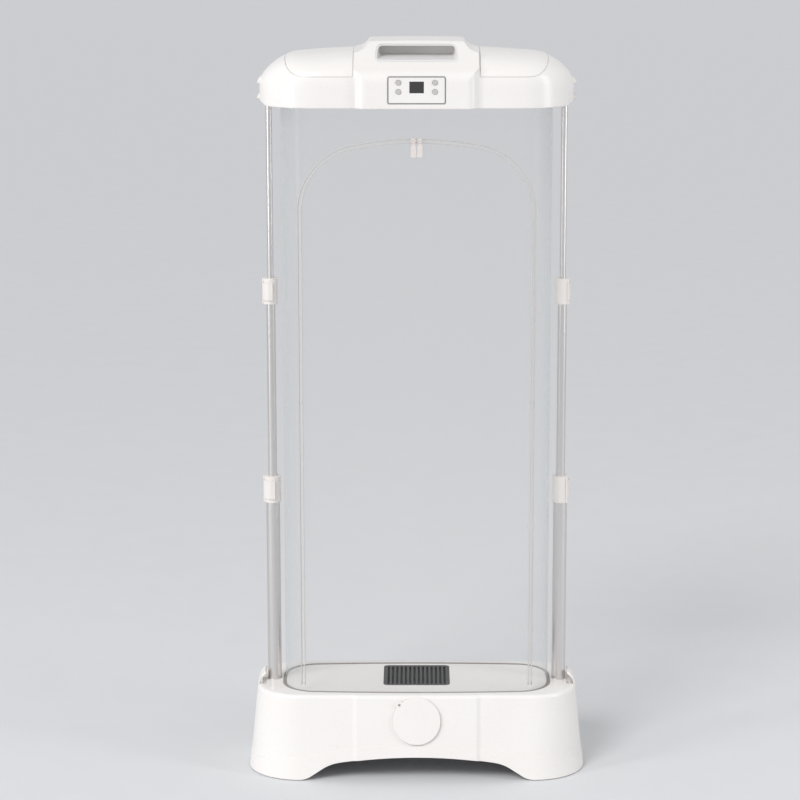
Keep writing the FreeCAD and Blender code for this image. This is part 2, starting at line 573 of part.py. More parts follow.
# ---------------------------------------------------------------- base: underside and feet
def make_underside():
    profile = bar("cover_profile", [
        ("-base_width", "foot_floor"), ("-foot_floor_start", "foot_floor"), ("-floor_half", "floor_height"),
        ("floor_half", "floor_height"), ("foot_floor_start", "foot_floor"), ("base_width", "foot_floor"),
        ("base_width", "foot_floor + floor_thick"),
        ("foot_floor_start + floor_thick / 2", "foot_floor + floor_thick"),
        ("floor_half + floor_thick / 2", "floor_height + floor_thick"),
        ("-floor_half - floor_thick / 2", "floor_height + floor_thick"),
        ("-foot_floor_start - floor_thick / 2", "foot_floor + floor_thick"),
        ("-base_width", "foot_floor + floor_thick")], "base_depth")
    inset = mm("base_wall") + mm("part_gap")
    room = free_form("cover_room", base_loft(-mm("base_wall"), mm("base_top") / 2, inset, inset))
    blank = shared("cover_blank", profile, room)
    holes = [block("intake_opening", "intake_size", "intake_size", "floor_thick * 2", 0, "outlet_shift",
                   "floor_height - floor_thick / 2")]
    for side_x in ("post_x", "-post_x"):
        for side_y in ("post_y", "-post_y"):
            holes.append(rod("cover_screw_hole", "screw_radius + fit_gap", "floor_thick * 2",
                             side_x, side_y, "foot_floor - floor_thick / 2"))
    shelf = cut("cover_shelf", blank, *holes)
    studs = []
    for side_x in (-1, 1):
        for side_y in (-1, 1):
            studs.append(rod("board_stud", "stud_radius", "stud_height + floor_thick / 2",
                             f"board_shift + {side_x} * (board_width / 2 - 2 * stud_radius)",
                             f"{side_y} * (board_depth / 2 - 2 * stud_radius)",
                             "floor_height + floor_thick / 2"))
    node(joined("bottom_cover", shelf, *studs))

    grille = joined("intake_blank",
                    block("intake_insert", "intake_size - 2 * part_gap", "intake_size - 2 * part_gap",
                          "floor_thick", 0, "outlet_shift", "floor_height"),
                    block("intake_flange", "intake_size + 2 * intake_lip", "intake_size + 2 * intake_lip",
                          "floor_thick / 2", 0, "outlet_shift", "floor_height - floor_thick / 2"))
    slots = [block("intake_slot", "slot_width", "intake_size - 2 * intake_lip", "floor_thick * 2",
                   f"({k} - (intake_slots - 1) / 2) * slot_pitch", "outlet_shift",
                   "floor_height - floor_thick / 2") for k in range(int(mm("intake_slots")))]
    node(cut("intake_grille", grille, *slots))

    sheet_blank = block("filter_blank", "filter_size", "filter_size", "filter_thick", 0, "outlet_shift",
                        "floor_height + floor_thick")
    cells = [block("filter_cell", "filter_pitch - filter_bar", "filter_size - 4 * filter_bar",
                   "filter_thick", f"({k} - (filter_cells - 1) / 2) * filter_pitch", "outlet_shift",
                   "floor_height + floor_thick") for k in range(int(mm("filter_cells")))]
    node(cut("dust_filter", sheet_blank, *cells))

    pads, screws = [], []
    for side_x in (-1, 1):
        for side_y in (-1, 1):
            pads.append(rod("foot_pad", "pad_radius", "foot_floor", f"{side_x} * pad_shift_x",
                            f"{side_y} * pad_shift_y"))
            where = (f"{side_x} * post_x", f"{side_y} * post_y")
            screws.append(joined("base_screw",
                                 rod("base_screw_head", "screw_head", "screw_head_thick", *where,
                                     "foot_floor - screw_head_thick"),
                                 rod("base_screw_shank", "screw_radius", "screw_length - fit_gap", *where,
                                     "foot_floor")))
    node(group("foot_pads", *pads))
    node(group("base_screws", *screws))


# ---------------------------------------------------------------- base: deck, outlet and blower column
def make_deck():
    edge = "-film_thick - 2 * part_gap"
    top = oval_slab("deck_plate", edge, "deck_thick", "base_top - deck_thick")
    skirt = oval_slab("deck_rim", edge, "base_top - deck_thick - ledge_top", "ledge_top",
                      inner=f"{edge} - deck_skirt")
    opening = plate("outlet_opening", "outlet_width + 2 * part_gap", "outlet_depth + 2 * part_gap",
                    "deck_thick * 3", "outlet_corner + part_gap", 0, "outlet_shift",
                    "base_top - 2 * deck_thick")
    node(cut("deck_tray", joined("deck_blank", top, skirt), opening))
    blank = plate("outlet_blank", "outlet_width", "outlet_depth", "grille_thick", "outlet_corner", 0,
                  "outlet_shift", "base_top - grille_thick")
    slots = [block("outlet_slot", "slot_width", "slot_length", "grille_thick",
                   f"({k} - (slot_count - 1) / 2) * slot_pitch", "outlet_shift",
                   "base_top - grille_thick") for k in range(int(mm("slot_count")))]
    node(cut("outlet_grille", blank, *slots))


def make_blower():
    column = ("outlet_width + 2 * duct_wall", "outlet_depth + 2 * duct_wall")
    foot = "floor_height + floor_thick"
    frame = block("fan_blank", *column, "fan_height", 0, "outlet_shift", foot)
    bore = rod("fan_bore", "fan_bore", "fan_height", 0, "outlet_shift", foot)
    arms = [block("fan_arm", "2 * fan_bore + duct_wall", "arm_width", "arm_height", 0, "outlet_shift",
                  f"{foot} + filter_thick + part_gap"),
            block("fan_cross_arm", "arm_width", "2 * fan_bore + duct_wall", "arm_height", 0, "outlet_shift",
                  f"{foot} + filter_thick + part_gap")]
    node(joined("fan_housing", cut("fan_frame", frame, bore), *arms))
    seat = f"{foot} + filter_thick + part_gap + arm_height"
    node(joined("fan_motor",
                rod("motor_case", "motor_radius", "motor_height", 0, "outlet_shift", seat),
                rod("motor_shaft", "shaft_radius", "motor_height + shaft_length", 0, "outlet_shift", seat)))
    lift = f"{seat} + motor_height + part_gap"
    blades = []
    for k in range(int(mm("blade_count"))):
        blade = block("fan_blade", "rotor_radius - rotor_hub / 2", "blade_thick", "rotor_height")
        turned = doc.addObject("Part::Compound", "fan_blade_turned")
        turned.Links = [blade]
        placed(blade, "rotor_hub / 2", "-blade_thick / 2", "-rotor_height / 2")
        pitch = FreeCAD.Rotation(V(1, 0, 0), mm("blade_pitch"))
        turned.Placement = FreeCAD.Placement(V(), FreeCAD.Rotation(UP, 360 * k / mm("blade_count")) * pitch)
        placed(turned, 0, "outlet_shift", f"{lift} + rotor_height / 2")
        blades.append(turned)
    hub = rod("rotor_hub_body", "rotor_hub", "rotor_height", 0, "outlet_shift", lift)
    bore = rod("rotor_bore", "shaft_radius + run_gap", "rotor_height", 0, "outlet_shift", lift)
    node(cut("fan_impeller", joined("rotor", hub, *blades), bore))

    low = f"{foot} + fan_height"
    frame = block("heater_blank", *column, f"base_top - grille_thick - ({low})", 0, "outlet_shift", low)
    room = block("heater_room", "outlet_width + 2 * duct_wall - 2 * duct_rim",
                 "outlet_depth + 2 * duct_wall - 2 * duct_rim", "base_top", 0, "outlet_shift", low)
    node(cut("heater_frame", frame, room))
    fins = [block("heater_fin", "fin_thick", "outlet_depth - 2 * duct_rim", "fin_height",
                  f"({k} - (fin_count - 1) / 2) * fin_pitch", "outlet_shift", f"{low} + fin_lift")
            for k in range(int(mm("fin_count")))]
    for side in (-1, 1):
        fins.append(block("heater_bar", "outlet_width + 2 * duct_wall - 2 * duct_rim - 2 * part_gap",
                          "fin_pitch", "fin_height / 2", 0, f"outlet_shift + {side} * outlet_depth / 4",
                          f"{low} + fin_lift + fin_height / 4"))
    node(joined("heater_fins", *fins))


def make_electrics():
    top = "floor_height + floor_thick + stud_height"
    parts = [block("board_sheet", "board_width", "board_depth", "board_thick", "board_shift", 0, top)]
    deck = f"{top} + board_thick"
    parts += [
        block("relay", "relay_size", "relay_size", "relay_height", "board_shift - board_width / 4",
              "board_depth / 4", deck),
        rod("choke", "choke_radius", "choke_height", "board_shift + board_width / 4", "board_depth / 5",
            deck),
        rod("capacitor", "capacitor_radius", "capacitor_height", "board_shift - board_width / 4",
            "-board_depth / 4", deck),
        block("connector", "relay_size", "relay_size / 2", "relay_size / 2", "board_shift + board_width / 4",
              "-board_depth / 3", deck)]
    node(joined("power_board", *parts))

    case = joined("inlet_case",
                  block("inlet_body", "inlet_width", "inlet_tall", "inlet_deep", 0, 0, "-inlet_deep"),
                  block("inlet_rim", "inlet_width + 2 * inlet_flange", "inlet_tall + 2 * inlet_flange",
                        "inlet_flange_thick"))
    well = block("inlet_well", "socket_width", "socket_tall", "socket_deep + inlet_flange_thick", 0, 0,
                 "-socket_deep")
    contacts = [rod("inlet_contact", "contact_radius", "contact_length", f"{side} * contact_spacing / 2", 0,
                    "-socket_deep") for side in (-1, 1)]
    inlet = joined("mains_inlet", cut("inlet_shell", case, well), *contacts)
    node(on_face(inlet, "inlet_height", "inlet_shift", back=True))


# ---------------------------------------------------------------- base: accessory port
def make_port():
    sleeve = joined("port_blank",
                    rod("port_sleeve_body", "port_bore + port_sleeve", "port_length", 0, 0, "-port_length"),
                    rod("port_lip_body", "port_bore + port_sleeve + port_lip", "port_lip_thick", 0, 0,
                        "-base_wall - fit_gap - port_lip_thick"))
    bore = rod("port_bore_body", "port_bore", "port_length * 2", 0, 0, "-port_length * 1.5")
    node(on_face(cut("port_ring", sleeve, bore), "port_height"))
    pin = joined("port_pivot_pin",
                 rod("port_pin_shank", "port_pin", "base_wall + disc_lift + disc_thick + part_gap", 0, 0,
                     "-base_wall"),
                 rod("port_pin_spacer", "port_pin_head", "disc_lift - part_gap"),
                 rod("port_pin_cap", "port_pin_head", "port_pin_head_thick", 0, 0,
                     "disc_lift + disc_thick + part_gap"))
    node(on_face(pin, "port_height", "-ear_x", "ear_y"))
    disc = new_body("port_disc")
    outline = sketch(disc)
    circle(outline, "disc_radius")
    pad(disc, outline, "disc_thick")
    disc.recompute(True)
    base = disc.Tip
    front = [f"Edge{n}" for n, edge in enumerate(base.Shape.Edges, start=1)
             if edge.CenterOfGravity.z > mm("disc_thick") / 2 and edge.Curve.TypeId == "Part::GeomCircle"]
    rim = disc.newObject("PartDesign::Fillet", "port_disc_round")
    rim.Base = (base, front)
    bound(rim, Radius="disc_edge_round")
    ear = rod("port_ear", "ear_radius", "disc_thick", "-ear_x", "ear_y")
    hole = rod("port_ear_bore", "port_pin + run_gap", "disc_thick", "-ear_x", "ear_y")
    cover = cut("port_cover", joined("port_cover_blank", disc, ear), hole)
    node(on_face(cover, "port_height", lift="disc_lift"))


# ---------------------------------------------------------------- base: flip latches
def make_latches():
    leaf = bar("latch_leaf", [
        ("latch_side", "latch_pin_z"), ("latch_side - latch_lean", "base_top"),
        ("latch_side - latch_brow_x", "latch_top - latch_brow_z"), ("latch_side - latch_tip_x", "latch_top"),
        ("latch_side - latch_tip_x - hook_reach", "latch_top - hook_tall"),
        ("latch_side - latch_brow_x - latch_thick", "latch_top - latch_brow_z - hook_tall / 2"),
        ("latch_side - latch_lean - latch_thick", "base_top"),
        ("latch_side - latch_thick", "latch_pin_z")], "2 * latch_half")
    face = new_body("latch_face")
    outline = sketch(face, "YZ_Plane")
    rectangle(outline, "2 * latch_half", "latch_top - latch_pin_z + latch_knuckle", 0,
              "(latch_top + latch_pin_z - latch_knuckle) / 2")
    pad(face, outline, "base_width")
    pivot = mm("latch_pin_z")
    rounded(face, "latch_corner", V(1, 0, 0), lambda middle: middle.z > pivot)
    knuckle = rod("latch_barrel", "latch_knuckle", "2 * latch_half", "latch_pin_x", "-latch_half",
                  "latch_pin_z", "Y")
    hole = rod("latch_bore", "latch_pin + run_gap", "2 * latch_half", "latch_pin_x", "-latch_half",
               "latch_pin_z", "Y")
    right = node(cut("right_latch", joined("latch_blank", shared("latch_flap", leaf, face), knuckle), hole))
    node(mirrored("left_latch", right))
    pins = [rod("latch_pin_rod", "latch_pin - fit_gap / 2", f"2 * ({LATCH_PIN_END} - fit_gap)",
                f"{side} * latch_pin_x", f"fit_gap - {LATCH_PIN_END}", "latch_pin_z", "Y")
            for side in (-1, 1)]
    node(group("latch_pins", *pins))


# ---------------------------------------------------------------- poles
def make_poles():
    sockets, lower_tubes = [], []
    for name, side in (("left", -1), ("right", 1)):
        x = f"{side} * pole_x"
        floor = "foot_floor + floor_thick"
        tall = f"ledge_top - socket_gap - ({floor})"
        post = joined("socket_blank",
                      rod("socket_post", "socket_radius", tall, x, 0, floor),
                      block("socket_foot", "socket_flange", "socket_flange", "socket_flange_thick", x, 0,
                            floor))
        sockets.append(cut("pole_socket", post,
                           rod("socket_bore", "lower_radius + fit_gap", "base_top", x, 0, "pole_foot")))
        lower_tubes.append(ring("lower_tube", "lower_radius", "lower_bore", "lower_end - pole_foot", x, 0,
                                "pole_foot"))
        node(ring(f"{name}_middle_tube", "middle_radius", "middle_bore", "middle_end - middle_foot", x, 0,
                  "middle_foot"))
        node(ring(f"{name}_upper_tube", "upper_radius", "upper_bore", "upper_end - upper_foot", x, 0,
                  "upper_foot"))
    node(group("pole_sockets", *sockets))
    node(group("lower_tubes", *lower_tubes))
    for label, outer, inner, length, z in (
            ("middle_tube_bushes", "lower_bore - run_gap", "middle_radius + fit_gap / 2", "middle_bush",
             "middle_foot"),
            ("upper_tube_bushes", "middle_bore - run_gap", "upper_radius + fit_gap / 2", "upper_bush",
             "upper_foot")):
        bushes = [ring("bush", outer, inner, length, f"{side} * pole_x", 0, z) for side in (-1, 1)]
        node(group(label, *bushes))


def clamp_at(thing, side, turn, z):
    thing.Placement = FreeCAD.Placement(V(), FreeCAD.Rotation(UP, mm(turn)))
    return placed(thing, f"{side} * pole_x", 0, z)


SLIT_TURN = 4


def make_clamp(stage, name, side, turn):
    """A collar on the end of one tube round the next, with a curved lever on an upright pin."""
    collar_radius, height, foot = f"{stage}_collar", f"{stage}_clamp_height", f"{stage}_clamp_z"
    outer_tube, inner_tube = ("lower", "middle") if stage == "lower" else ("middle", "upper")
    step = f"{outer_tube}_end - {foot}"
    pin_x = f"{collar_radius} + clamp_pin_out"
    blank = joined("collar_blank", rod("collar_body", collar_radius, height),
                   rod("collar_ear", "knuckle_radius", height, pin_x))
    lever_z, lever_height = "lever_margin", f"{height} - 2 * lever_margin"
    slit = block("collar_slit", collar_radius, "slit_width", lever_height)
    turned = doc.addObject("Part::Compound", "collar_slit_turned")
    turned.Links = [slit]
    placed(slit, f"{collar_radius} / 2 + knuckle_radius", "-slit_width / 2", lever_z)
    past_lever = mm("lever_sweep") + SLIT_TURN
    turned.Placement = FreeCAD.Placement(V(), FreeCAD.Rotation(UP, past_lever))
    collar = cut(f"{name}_{stage}_clamp", blank,
                 rod("collar_seat", f"{outer_tube}_radius + fit_gap", step),
                 rod("collar_guide", f"{inner_tube}_radius + run_gap", height),
                 rod("collar_pin_hole", "clamp_pin", height, pin_x),
                 rod("collar_relief", "knuckle_radius + part_gap", f"{lever_height} + 2 * part_gap", pin_x, 0,
                     f"{lever_z} - part_gap"), turned)
    node(clamp_at(collar, side, turn, foot))

    wrap = rod("lever_wrap", f"{collar_radius} + part_gap + lever_thick", lever_height, 0, 0, lever_z)
    bound(wrap, Angle="lever_sweep")
    hollow = rod("lever_hollow", f"{collar_radius} + part_gap", lever_height, 0, 0, lever_z)
    barrel = rod("lever_barrel", "knuckle_radius", lever_height, pin_x, 0, lever_z)
    tip_radius = f"({collar_radius} + part_gap + lever_thick - lever_tip / 2)"
    tip = rod("lever_lip", "lever_tip", lever_height, f"{tip_radius} * cos(lever_sweep)",
              f"{tip_radius} * sin(lever_sweep)", lever_z)
    lever = cut(f"{name}_{stage}_clamp_lever",
                joined("lever_blank", cut("lever_shell", joined("lever_stock", wrap, tip), hollow), barrel),
                rod("lever_bore", "clamp_pin + run_gap", lever_height, pin_x, 0, lever_z))
    node(clamp_at(lever, side, turn, foot))


def make_clamps():
    for stage in ("lower", "upper"):
        pins = []
        for name, side, turn in (("left", -1, "left_clamp_turn"), ("right", 1, "right_clamp_turn")):
            make_clamp(stage, name, side, turn)
            reach = f"({stage}_collar + clamp_pin_out)"
            pins.append(rod("clamp_pin_rod", "clamp_pin - fit_gap / 2", f"{stage}_clamp_height",
                            f"{side} * pole_x + {reach} * cos({turn})", f"{reach} * sin({turn})",
                            f"{stage}_clamp_z"))
        node(group(f"{stage}_clamp_pins", *pins))


# ---------------------------------------------------------------- bag
def make_bag():
    rise = "base_top + lower_frame_rise - ledge_top"
    node(oval_slab("bag_lower_frame", "part_gap + frame_width", rise, "ledge_top", inner="part_gap"))
    node(oval_slab("bag_upper_frame", "part_gap + frame_width", "upper_frame_height",
                   "liner_low - upper_frame_height", inner="part_gap"))
    node(oval_slab("bag_film", 0, "liner_low - ledge_top - 2 * part_gap", "ledge_top + part_gap",
                   inner="-film_thick"))
    skin = oval_slab("zip_skin", "zip_lift + zip_thick", "liner_low - zip_foot", "zip_foot", inner="zip_lift")
    band = zip_arch(mm("zip_width") / 2).cut(zip_arch(-mm("zip_width") / 2))
    node(shared("zipper_tape", skin, free_form("zip_band", band)))


def zip_arch(grow):
    """The front door's outline: upright legs, round corners and a crown that is nearly flat."""
    half, corner, crown = mm("zip_half") + grow, mm("zip_corner") + grow, mm("zip_crown_round") + grow
    crown_centre = mm("zip_top") - mm("zip_crown_round")
    corner_x = half - corner
    corner_z = crown_centre + math.sqrt((crown - corner) ** 2 - corner_x ** 2)
    lean = math.atan2(corner_z - crown_centre, corner_x)
    join = V(crown * math.cos(lean), 0, crown_centre + crown * math.sin(lean))
    bulge = V(corner_x + corner * math.cos(lean / 2), 0, corner_z + corner * math.sin(lean / 2))
    spring, foot = V(half, 0, corner_z), V(half, 0, mm("zip_foot") - mm("zip_width"))
    flip = lambda p: V(-p.x, 0, p.z)
    wire = Part.Wire([
        Part.makeLine(foot, spring), arc_edge(spring, bulge, join),
        arc_edge(join, V(0, 0, crown_centre + crown), flip(join)),
        arc_edge(flip(join), flip(bulge), flip(spring)), Part.makeLine(flip(spring), flip(foot)),
        Part.makeLine(flip(foot), foot)])
    return Part.Face(wire).extrude(V(0, -mm("base_depth"), 0))


def make_zip_pulls():
    front = "-film_half_depth - zip_lift - zip_thick - part_gap / 2"
    mid = f"{front} - slider_thick / 2"
    bail_y = f"{front} - slider_thick - bail_drop"
    bail_z = "zip_top - slider_tall / 4"
    barrel = "bail_radius + run_gap + bail_radius"
    sliders = []
    for side_name, side in (("left", -1), ("right", 1)):
        x = f"{side} * slider_shift"
        cheeks = [block("slider_cheek", "bail_radius", f"bail_drop + {barrel}", f"2 * ({barrel})",
                        f"{x} + {way} * (slider_width - bail_radius) / 2",
                        f"{front} - slider_thick - (bail_drop + {barrel}) / 2",
                        f"{bail_z} - ({barrel})") for way in (-1, 1)]
        sliders.append(joined("zip_slider",
                    block("slider_body", "slider_width", "slider_thick", "slider_tall", x, mid,
                          "zip_top - slider_tall / 2"),
                    rod("slider_bail", "bail_radius", "slider_width", f"{x} - slider_width / 2", bail_y,
                        bail_z, "X"), *cheeks))
        eye_half = "pull_eye + part_gap"
        tab = bar("pull_tab", [
            (f"-({eye_half})", 0), (f"-({eye_half})", "-bail_drop"), ("-pull_width / 2", "-3 * bail_drop"),
            ("-pull_width / 2", "-pull_length"), ("pull_width / 2", "-pull_length"),
            ("pull_width / 2", "-3 * bail_drop"), (eye_half, "-bail_drop"), (eye_half, 0)],
            "pull_thick", x=x, y=bail_y, z=bail_z)
        eye = rod("pull_barrel", barrel, f"2 * ({eye_half})", f"{x} - ({eye_half})", bail_y, bail_z, "X")
        hole = rod("pull_bore", "bail_radius + run_gap", "slider_width", f"{x} - slider_width / 2", bail_y,
                   bail_z, "X")
        node(cut(f"{side_name}_zip_pull", joined("pull_blank", tab, eye), hole))
    node(group("zip_sliders", *sliders))


# ---------------------------------------------------------------- hood: forms
DOME_POWER = 2.6
DOME_STEPS = 14
FLAT_STEPS = 5
CORNER_STEPS = 7


def crown_height(x):
    """The dome's ridge: a shallow arc that turns down over each end in a tighter one."""
    x = abs(x)
    shoulder, end = mm("shoulder_x"), mm("hood_half")
    ridge = mm("hood_crown") - x ** 2 / (2 * mm("crown_round"))
    if x <= shoulder:
        return ridge
    high = V(shoulder, mm("hood_crown") - shoulder ** 2 / (2 * mm("crown_round")))
    low = V(end, mm("hood_crown") - mm("shoulder_drop"))
    half_chord, radius = (high - low).Length / 2, mm("shoulder_round")
    along = (low - high).normalize()
    centre = (high + low) / 2 + V(along.y, -along.x) * math.sqrt(radius ** 2 - half_chord ** 2)
    return centre.y + math.sqrt(radius ** 2 - (x - centre.x) ** 2)


def dome_station(x, half_depth, inset, low):
    """A slice across the hood: upright sides and a boxy arch over them."""
    outer_x = x * mm("hood_half") / (mm("hood_half") - inset)
    top = crown_height(outer_x) - inset
    spring = top - mm("dome_share") * (top - mm("hood_rim"))
    arch = []
    for k in range(DOME_STEPS + 1):
        turn = math.pi * k / DOME_STEPS
        across = math.copysign(abs(math.cos(turn)) ** (2 / DOME_POWER), math.cos(turn))
        arch.append(V(x, half_depth * across, spring + (top - spring) * math.sin(turn) ** (2 / DOME_POWER)))
    arch[0], arch[-1] = V(x, half_depth, spring), V(x, -half_depth, spring)
    curve = Part.BSplineCurve()
    curve.interpolate(arch, Parameters=[k / DOME_STEPS for k in range(DOME_STEPS + 1)])
    return Part.Wire([Part.makeLine(V(x, -half_depth, low), V(x, half_depth, low)),
                      Part.makeLine(V(x, half_depth, low), arch[0]), curve.toShape(),
                      Part.makeLine(arch[-1], V(x, -half_depth, low))])


def dome(inset, low):
    half, depth, corner = mm("hood_half"), mm("hood_half_depth"), mm("hood_corner")
    straight = half - corner
    stations = [(straight * k / FLAT_STEPS, depth - inset) for k in range(FLAT_STEPS)]
    for k in range(CORNER_STEPS + 1):
        turn = math.radians(90) * k / CORNER_STEPS
        stations.append((straight + (corner - inset) * math.sin(turn),
                         depth - corner + (corner - inset) * math.cos(turn)))
    stations = [(-x, y) for x, y in reversed(stations[1:])] + stations
    return Part.makeLoft([dome_station(x, y, inset, low) for x, y in stations], True, False)


def block_form(inset, low):
    """The raised middle block: its plan, its front outline and its side outline, all three at once."""
    root = mm("block_root")
    flat, depth, top = mm("block_half") - inset, mm("block_depth") - inset, mm("block_top") - inset
    foot_x, foot_y = flat + mm("block_flank"), mm("hood_half_depth") - inset - root
    plan = [V(foot_x, -foot_y, low), V(foot_x, foot_y, low), V(flat, depth, low), V(-flat, depth, low),
            V(-foot_x, foot_y, low), V(-foot_x, -foot_y, low), V(-flat, -depth, low), V(flat, -depth, low)]
    plan_solid = Part.Face(Part.makePolygon(plan + plan[:1])).extrude(V(0, 0, top))
    corners = [edge for edge in plan_solid.Edges if abs(edge.CenterOfGravity.z - low - top / 2) < 1
               and abs(abs(edge.CenterOfGravity.y) - depth) < 1]
    plan_solid = plan_solid.makeFillet(mm("block_corner"), corners)
    half_top = mm("block_top_half") - inset
    far = 2 * depth
    shoulder, brow = V(foot_x, -far, crown_height(foot_x) - inset - root), V(half_top, -far, top)
    step = brow - shoulder
    dip = (shoulder + brow) / 2 + V(step.z, 0, -step.x).normalize() * (
        -step.Length ** 2 / (8 * mm("block_flank_round")))
    flip = lambda p: V(-p.x, p.y, p.z)
    crown = V(0, -far, top + mm("hood_crown") - crown_height(half_top))
    low_right = V(foot_x, -far, low)
    front = Part.Wire([
        Part.makeLine(low_right, shoulder), arc_edge(shoulder, dip, brow), arc_edge(brow, crown, flip(brow)),
        arc_edge(flip(brow), flip(dip), flip(shoulder)), Part.makeLine(flip(shoulder), flip(low_right)),
        Part.makeLine(flip(low_right), low_right)])
    front_solid = Part.Face(front).extrude(V(0, 2 * far, 0))
    slope_end, face_top = mm("block_slope_end"), mm("block_face_top") - inset / 2
    roof = crown.z + 1
    corners = [V(-far, -depth, low), V(-far, -depth, face_top), V(-far, -slope_end, roof),
               V(-far, slope_end, roof), V(-far, depth, face_top), V(-far, depth, low)]
    side = Part.Face(Part.makePolygon(corners + corners[:1])).extrude(V(2 * far, 0, 0))
    bends = [edge for edge in side.Edges if abs(edge.CenterOfGravity.x) < 1
             and edge.CenterOfGravity.z > face_top - 1]
    side = side.makeFillet(mm("block_round"), bends)
    return plan_solid.common(front_solid).common(side)


def hood_form(inset, low):
    return dome(inset, low).fuse(block_form(inset, low))


def cover_region(grow):
    """The outline of the right-hand inset cover seen from the front, run through from front to back."""
    low, high = mm("cover_seam") - grow, mm("hood_crown") + mm("hood_rise")
    inner, outer, corner = mm("cover_inner") - grow, mm("cover_outer") + grow, mm("cover_round") + grow
    bulge = corner * (1 - math.sqrt(0.5))
    return run_through(
        Part.makeLine(V(inner, 0, high), V(inner, 0, low)),
        Part.makeLine(V(inner, 0, low), V(outer - corner, 0, low)),
        arc_edge(V(outer - corner, 0, low), V(outer - bulge, 0, low + bulge), V(outer, 0, low + corner)),
        Part.makeLine(V(outer, 0, low + corner), V(outer, 0, high)),
        Part.makeLine(V(outer, 0, high), V(inner, 0, high)))


# ---------------------------------------------------------------- hood: pieces
def upright(label, width, tall, thick, corner, x, y, z):
    """A slab that faces the front: centred on x, y and z, with round corners."""
    body = new_body(label)
    outline = sketch(body, "XZ_Plane")
    rectangle(outline, width, tall)
    pad(body, outline, thick, both_ways=True)
    rounded(body, corner, V(0, 1, 0))
    return placed(body, x, y, z)


PANEL_FRONT = "-block_depth - panel_proud"
PANEL_BACK = "-block_depth - panel_proud + panel_thick"


def keeper_bars():
    """The catches for the latches' hooks at the right end: a flared lip low down and a brow over it.

    The brow runs up flush with the hood's end, and its inner edge stays within the wall.
    """
    tip, root = "hood_half + keeper_reach", "hood_half - hood_wall / 2"
    lip = [(root, "hood_rim + keeper_low"), ("hood_half", "hood_rim + keeper_low"),
           (tip, "hood_rim + keeper_tip"), ("hood_half + keeper_step", "hood_rim + keeper_shelf"),
           (root, "hood_rim + keeper_shelf")]
    brow = [(root, "hood_rim + keeper_roof"), (tip, "hood_rim + keeper_roof"),
            ("hood_half + brow_swell", "hood_rim + keeper_roof + brow_rise"),
            ("hood_half - brow_run", "hood_rim + keeper_roof + brow_lift"),
            ("hood_half - brow_run - 3 * hood_wall / 8", "hood_rim + keeper_roof + brow_lift - hood_wall / 2"),
            (root, "hood_rim + keeper_roof + hood_wall")]
    return [bar("keeper", outline, "2 * keeper_half") for outline in (lip, brow)]


def rim_sweep():
    """What lies under the line that the rim and the lip follow at the right end, up to the lip's tip."""
    start, far, low = "hood_half - rim_run", "hood_half + rim_run + 2 * keeper_reach", "hood_rim - hood_wall"
    outline = [(start, low), (far, low), (far, "hood_rim + 2 * keeper_tip"), (start, "hood_rim")]
    return bar("rim_sweep", outline, "2 * base_depth")


def grip_end(y, grow, back):
    """One end of the carry pocket; its back is lower, narrower and tighter in the corners than its mouth."""
    half = mm("grip_half") + grow - (mm("grip_draft") if back else 0)
    low = mm("grip_low") - grow + (mm("grip_slope") if back else 0)
    high = mm("grip_high") + grow
    upper = mm("grip_back_round" if back else "grip_round") + grow
    lower = mm("grip_back_round" if back else "grip_lower_round") + grow
    turn = math.sqrt(0.5)
    edges = []
    for way_x, way_z, corner in ((1, -1, lower), (1, 1, upper), (-1, 1, upper), (-1, -1, lower)):
        level = low if way_z < 0 else high
        flat = V(way_x * (half - corner), y, level)
        bend = V(way_x * (half - corner + corner * turn), y, level - way_z * corner * (1 - turn))
        wall = V(way_x * half, y, level - way_z * corner)
        edges.append((flat, bend, wall) if way_x * way_z < 0 else (wall, bend, flat))
    outline = []
    for k, arc in enumerate(edges):
        outline += [arc_edge(*arc), Part.makeLine(arc[2], edges[(k + 1) % len(edges)][0])]
    return Part.Wire(outline)


def grip_form(grow, ahead=0):
    """The carry pocket's room, grown by a wall; it runs out ahead of the block's slope."""
    return Part.makeLoft([grip_end(-mm("grip_front") - ahead, grow, False),
                          grip_end(-mm("grip_back") + grow, grow, True)], True, True)


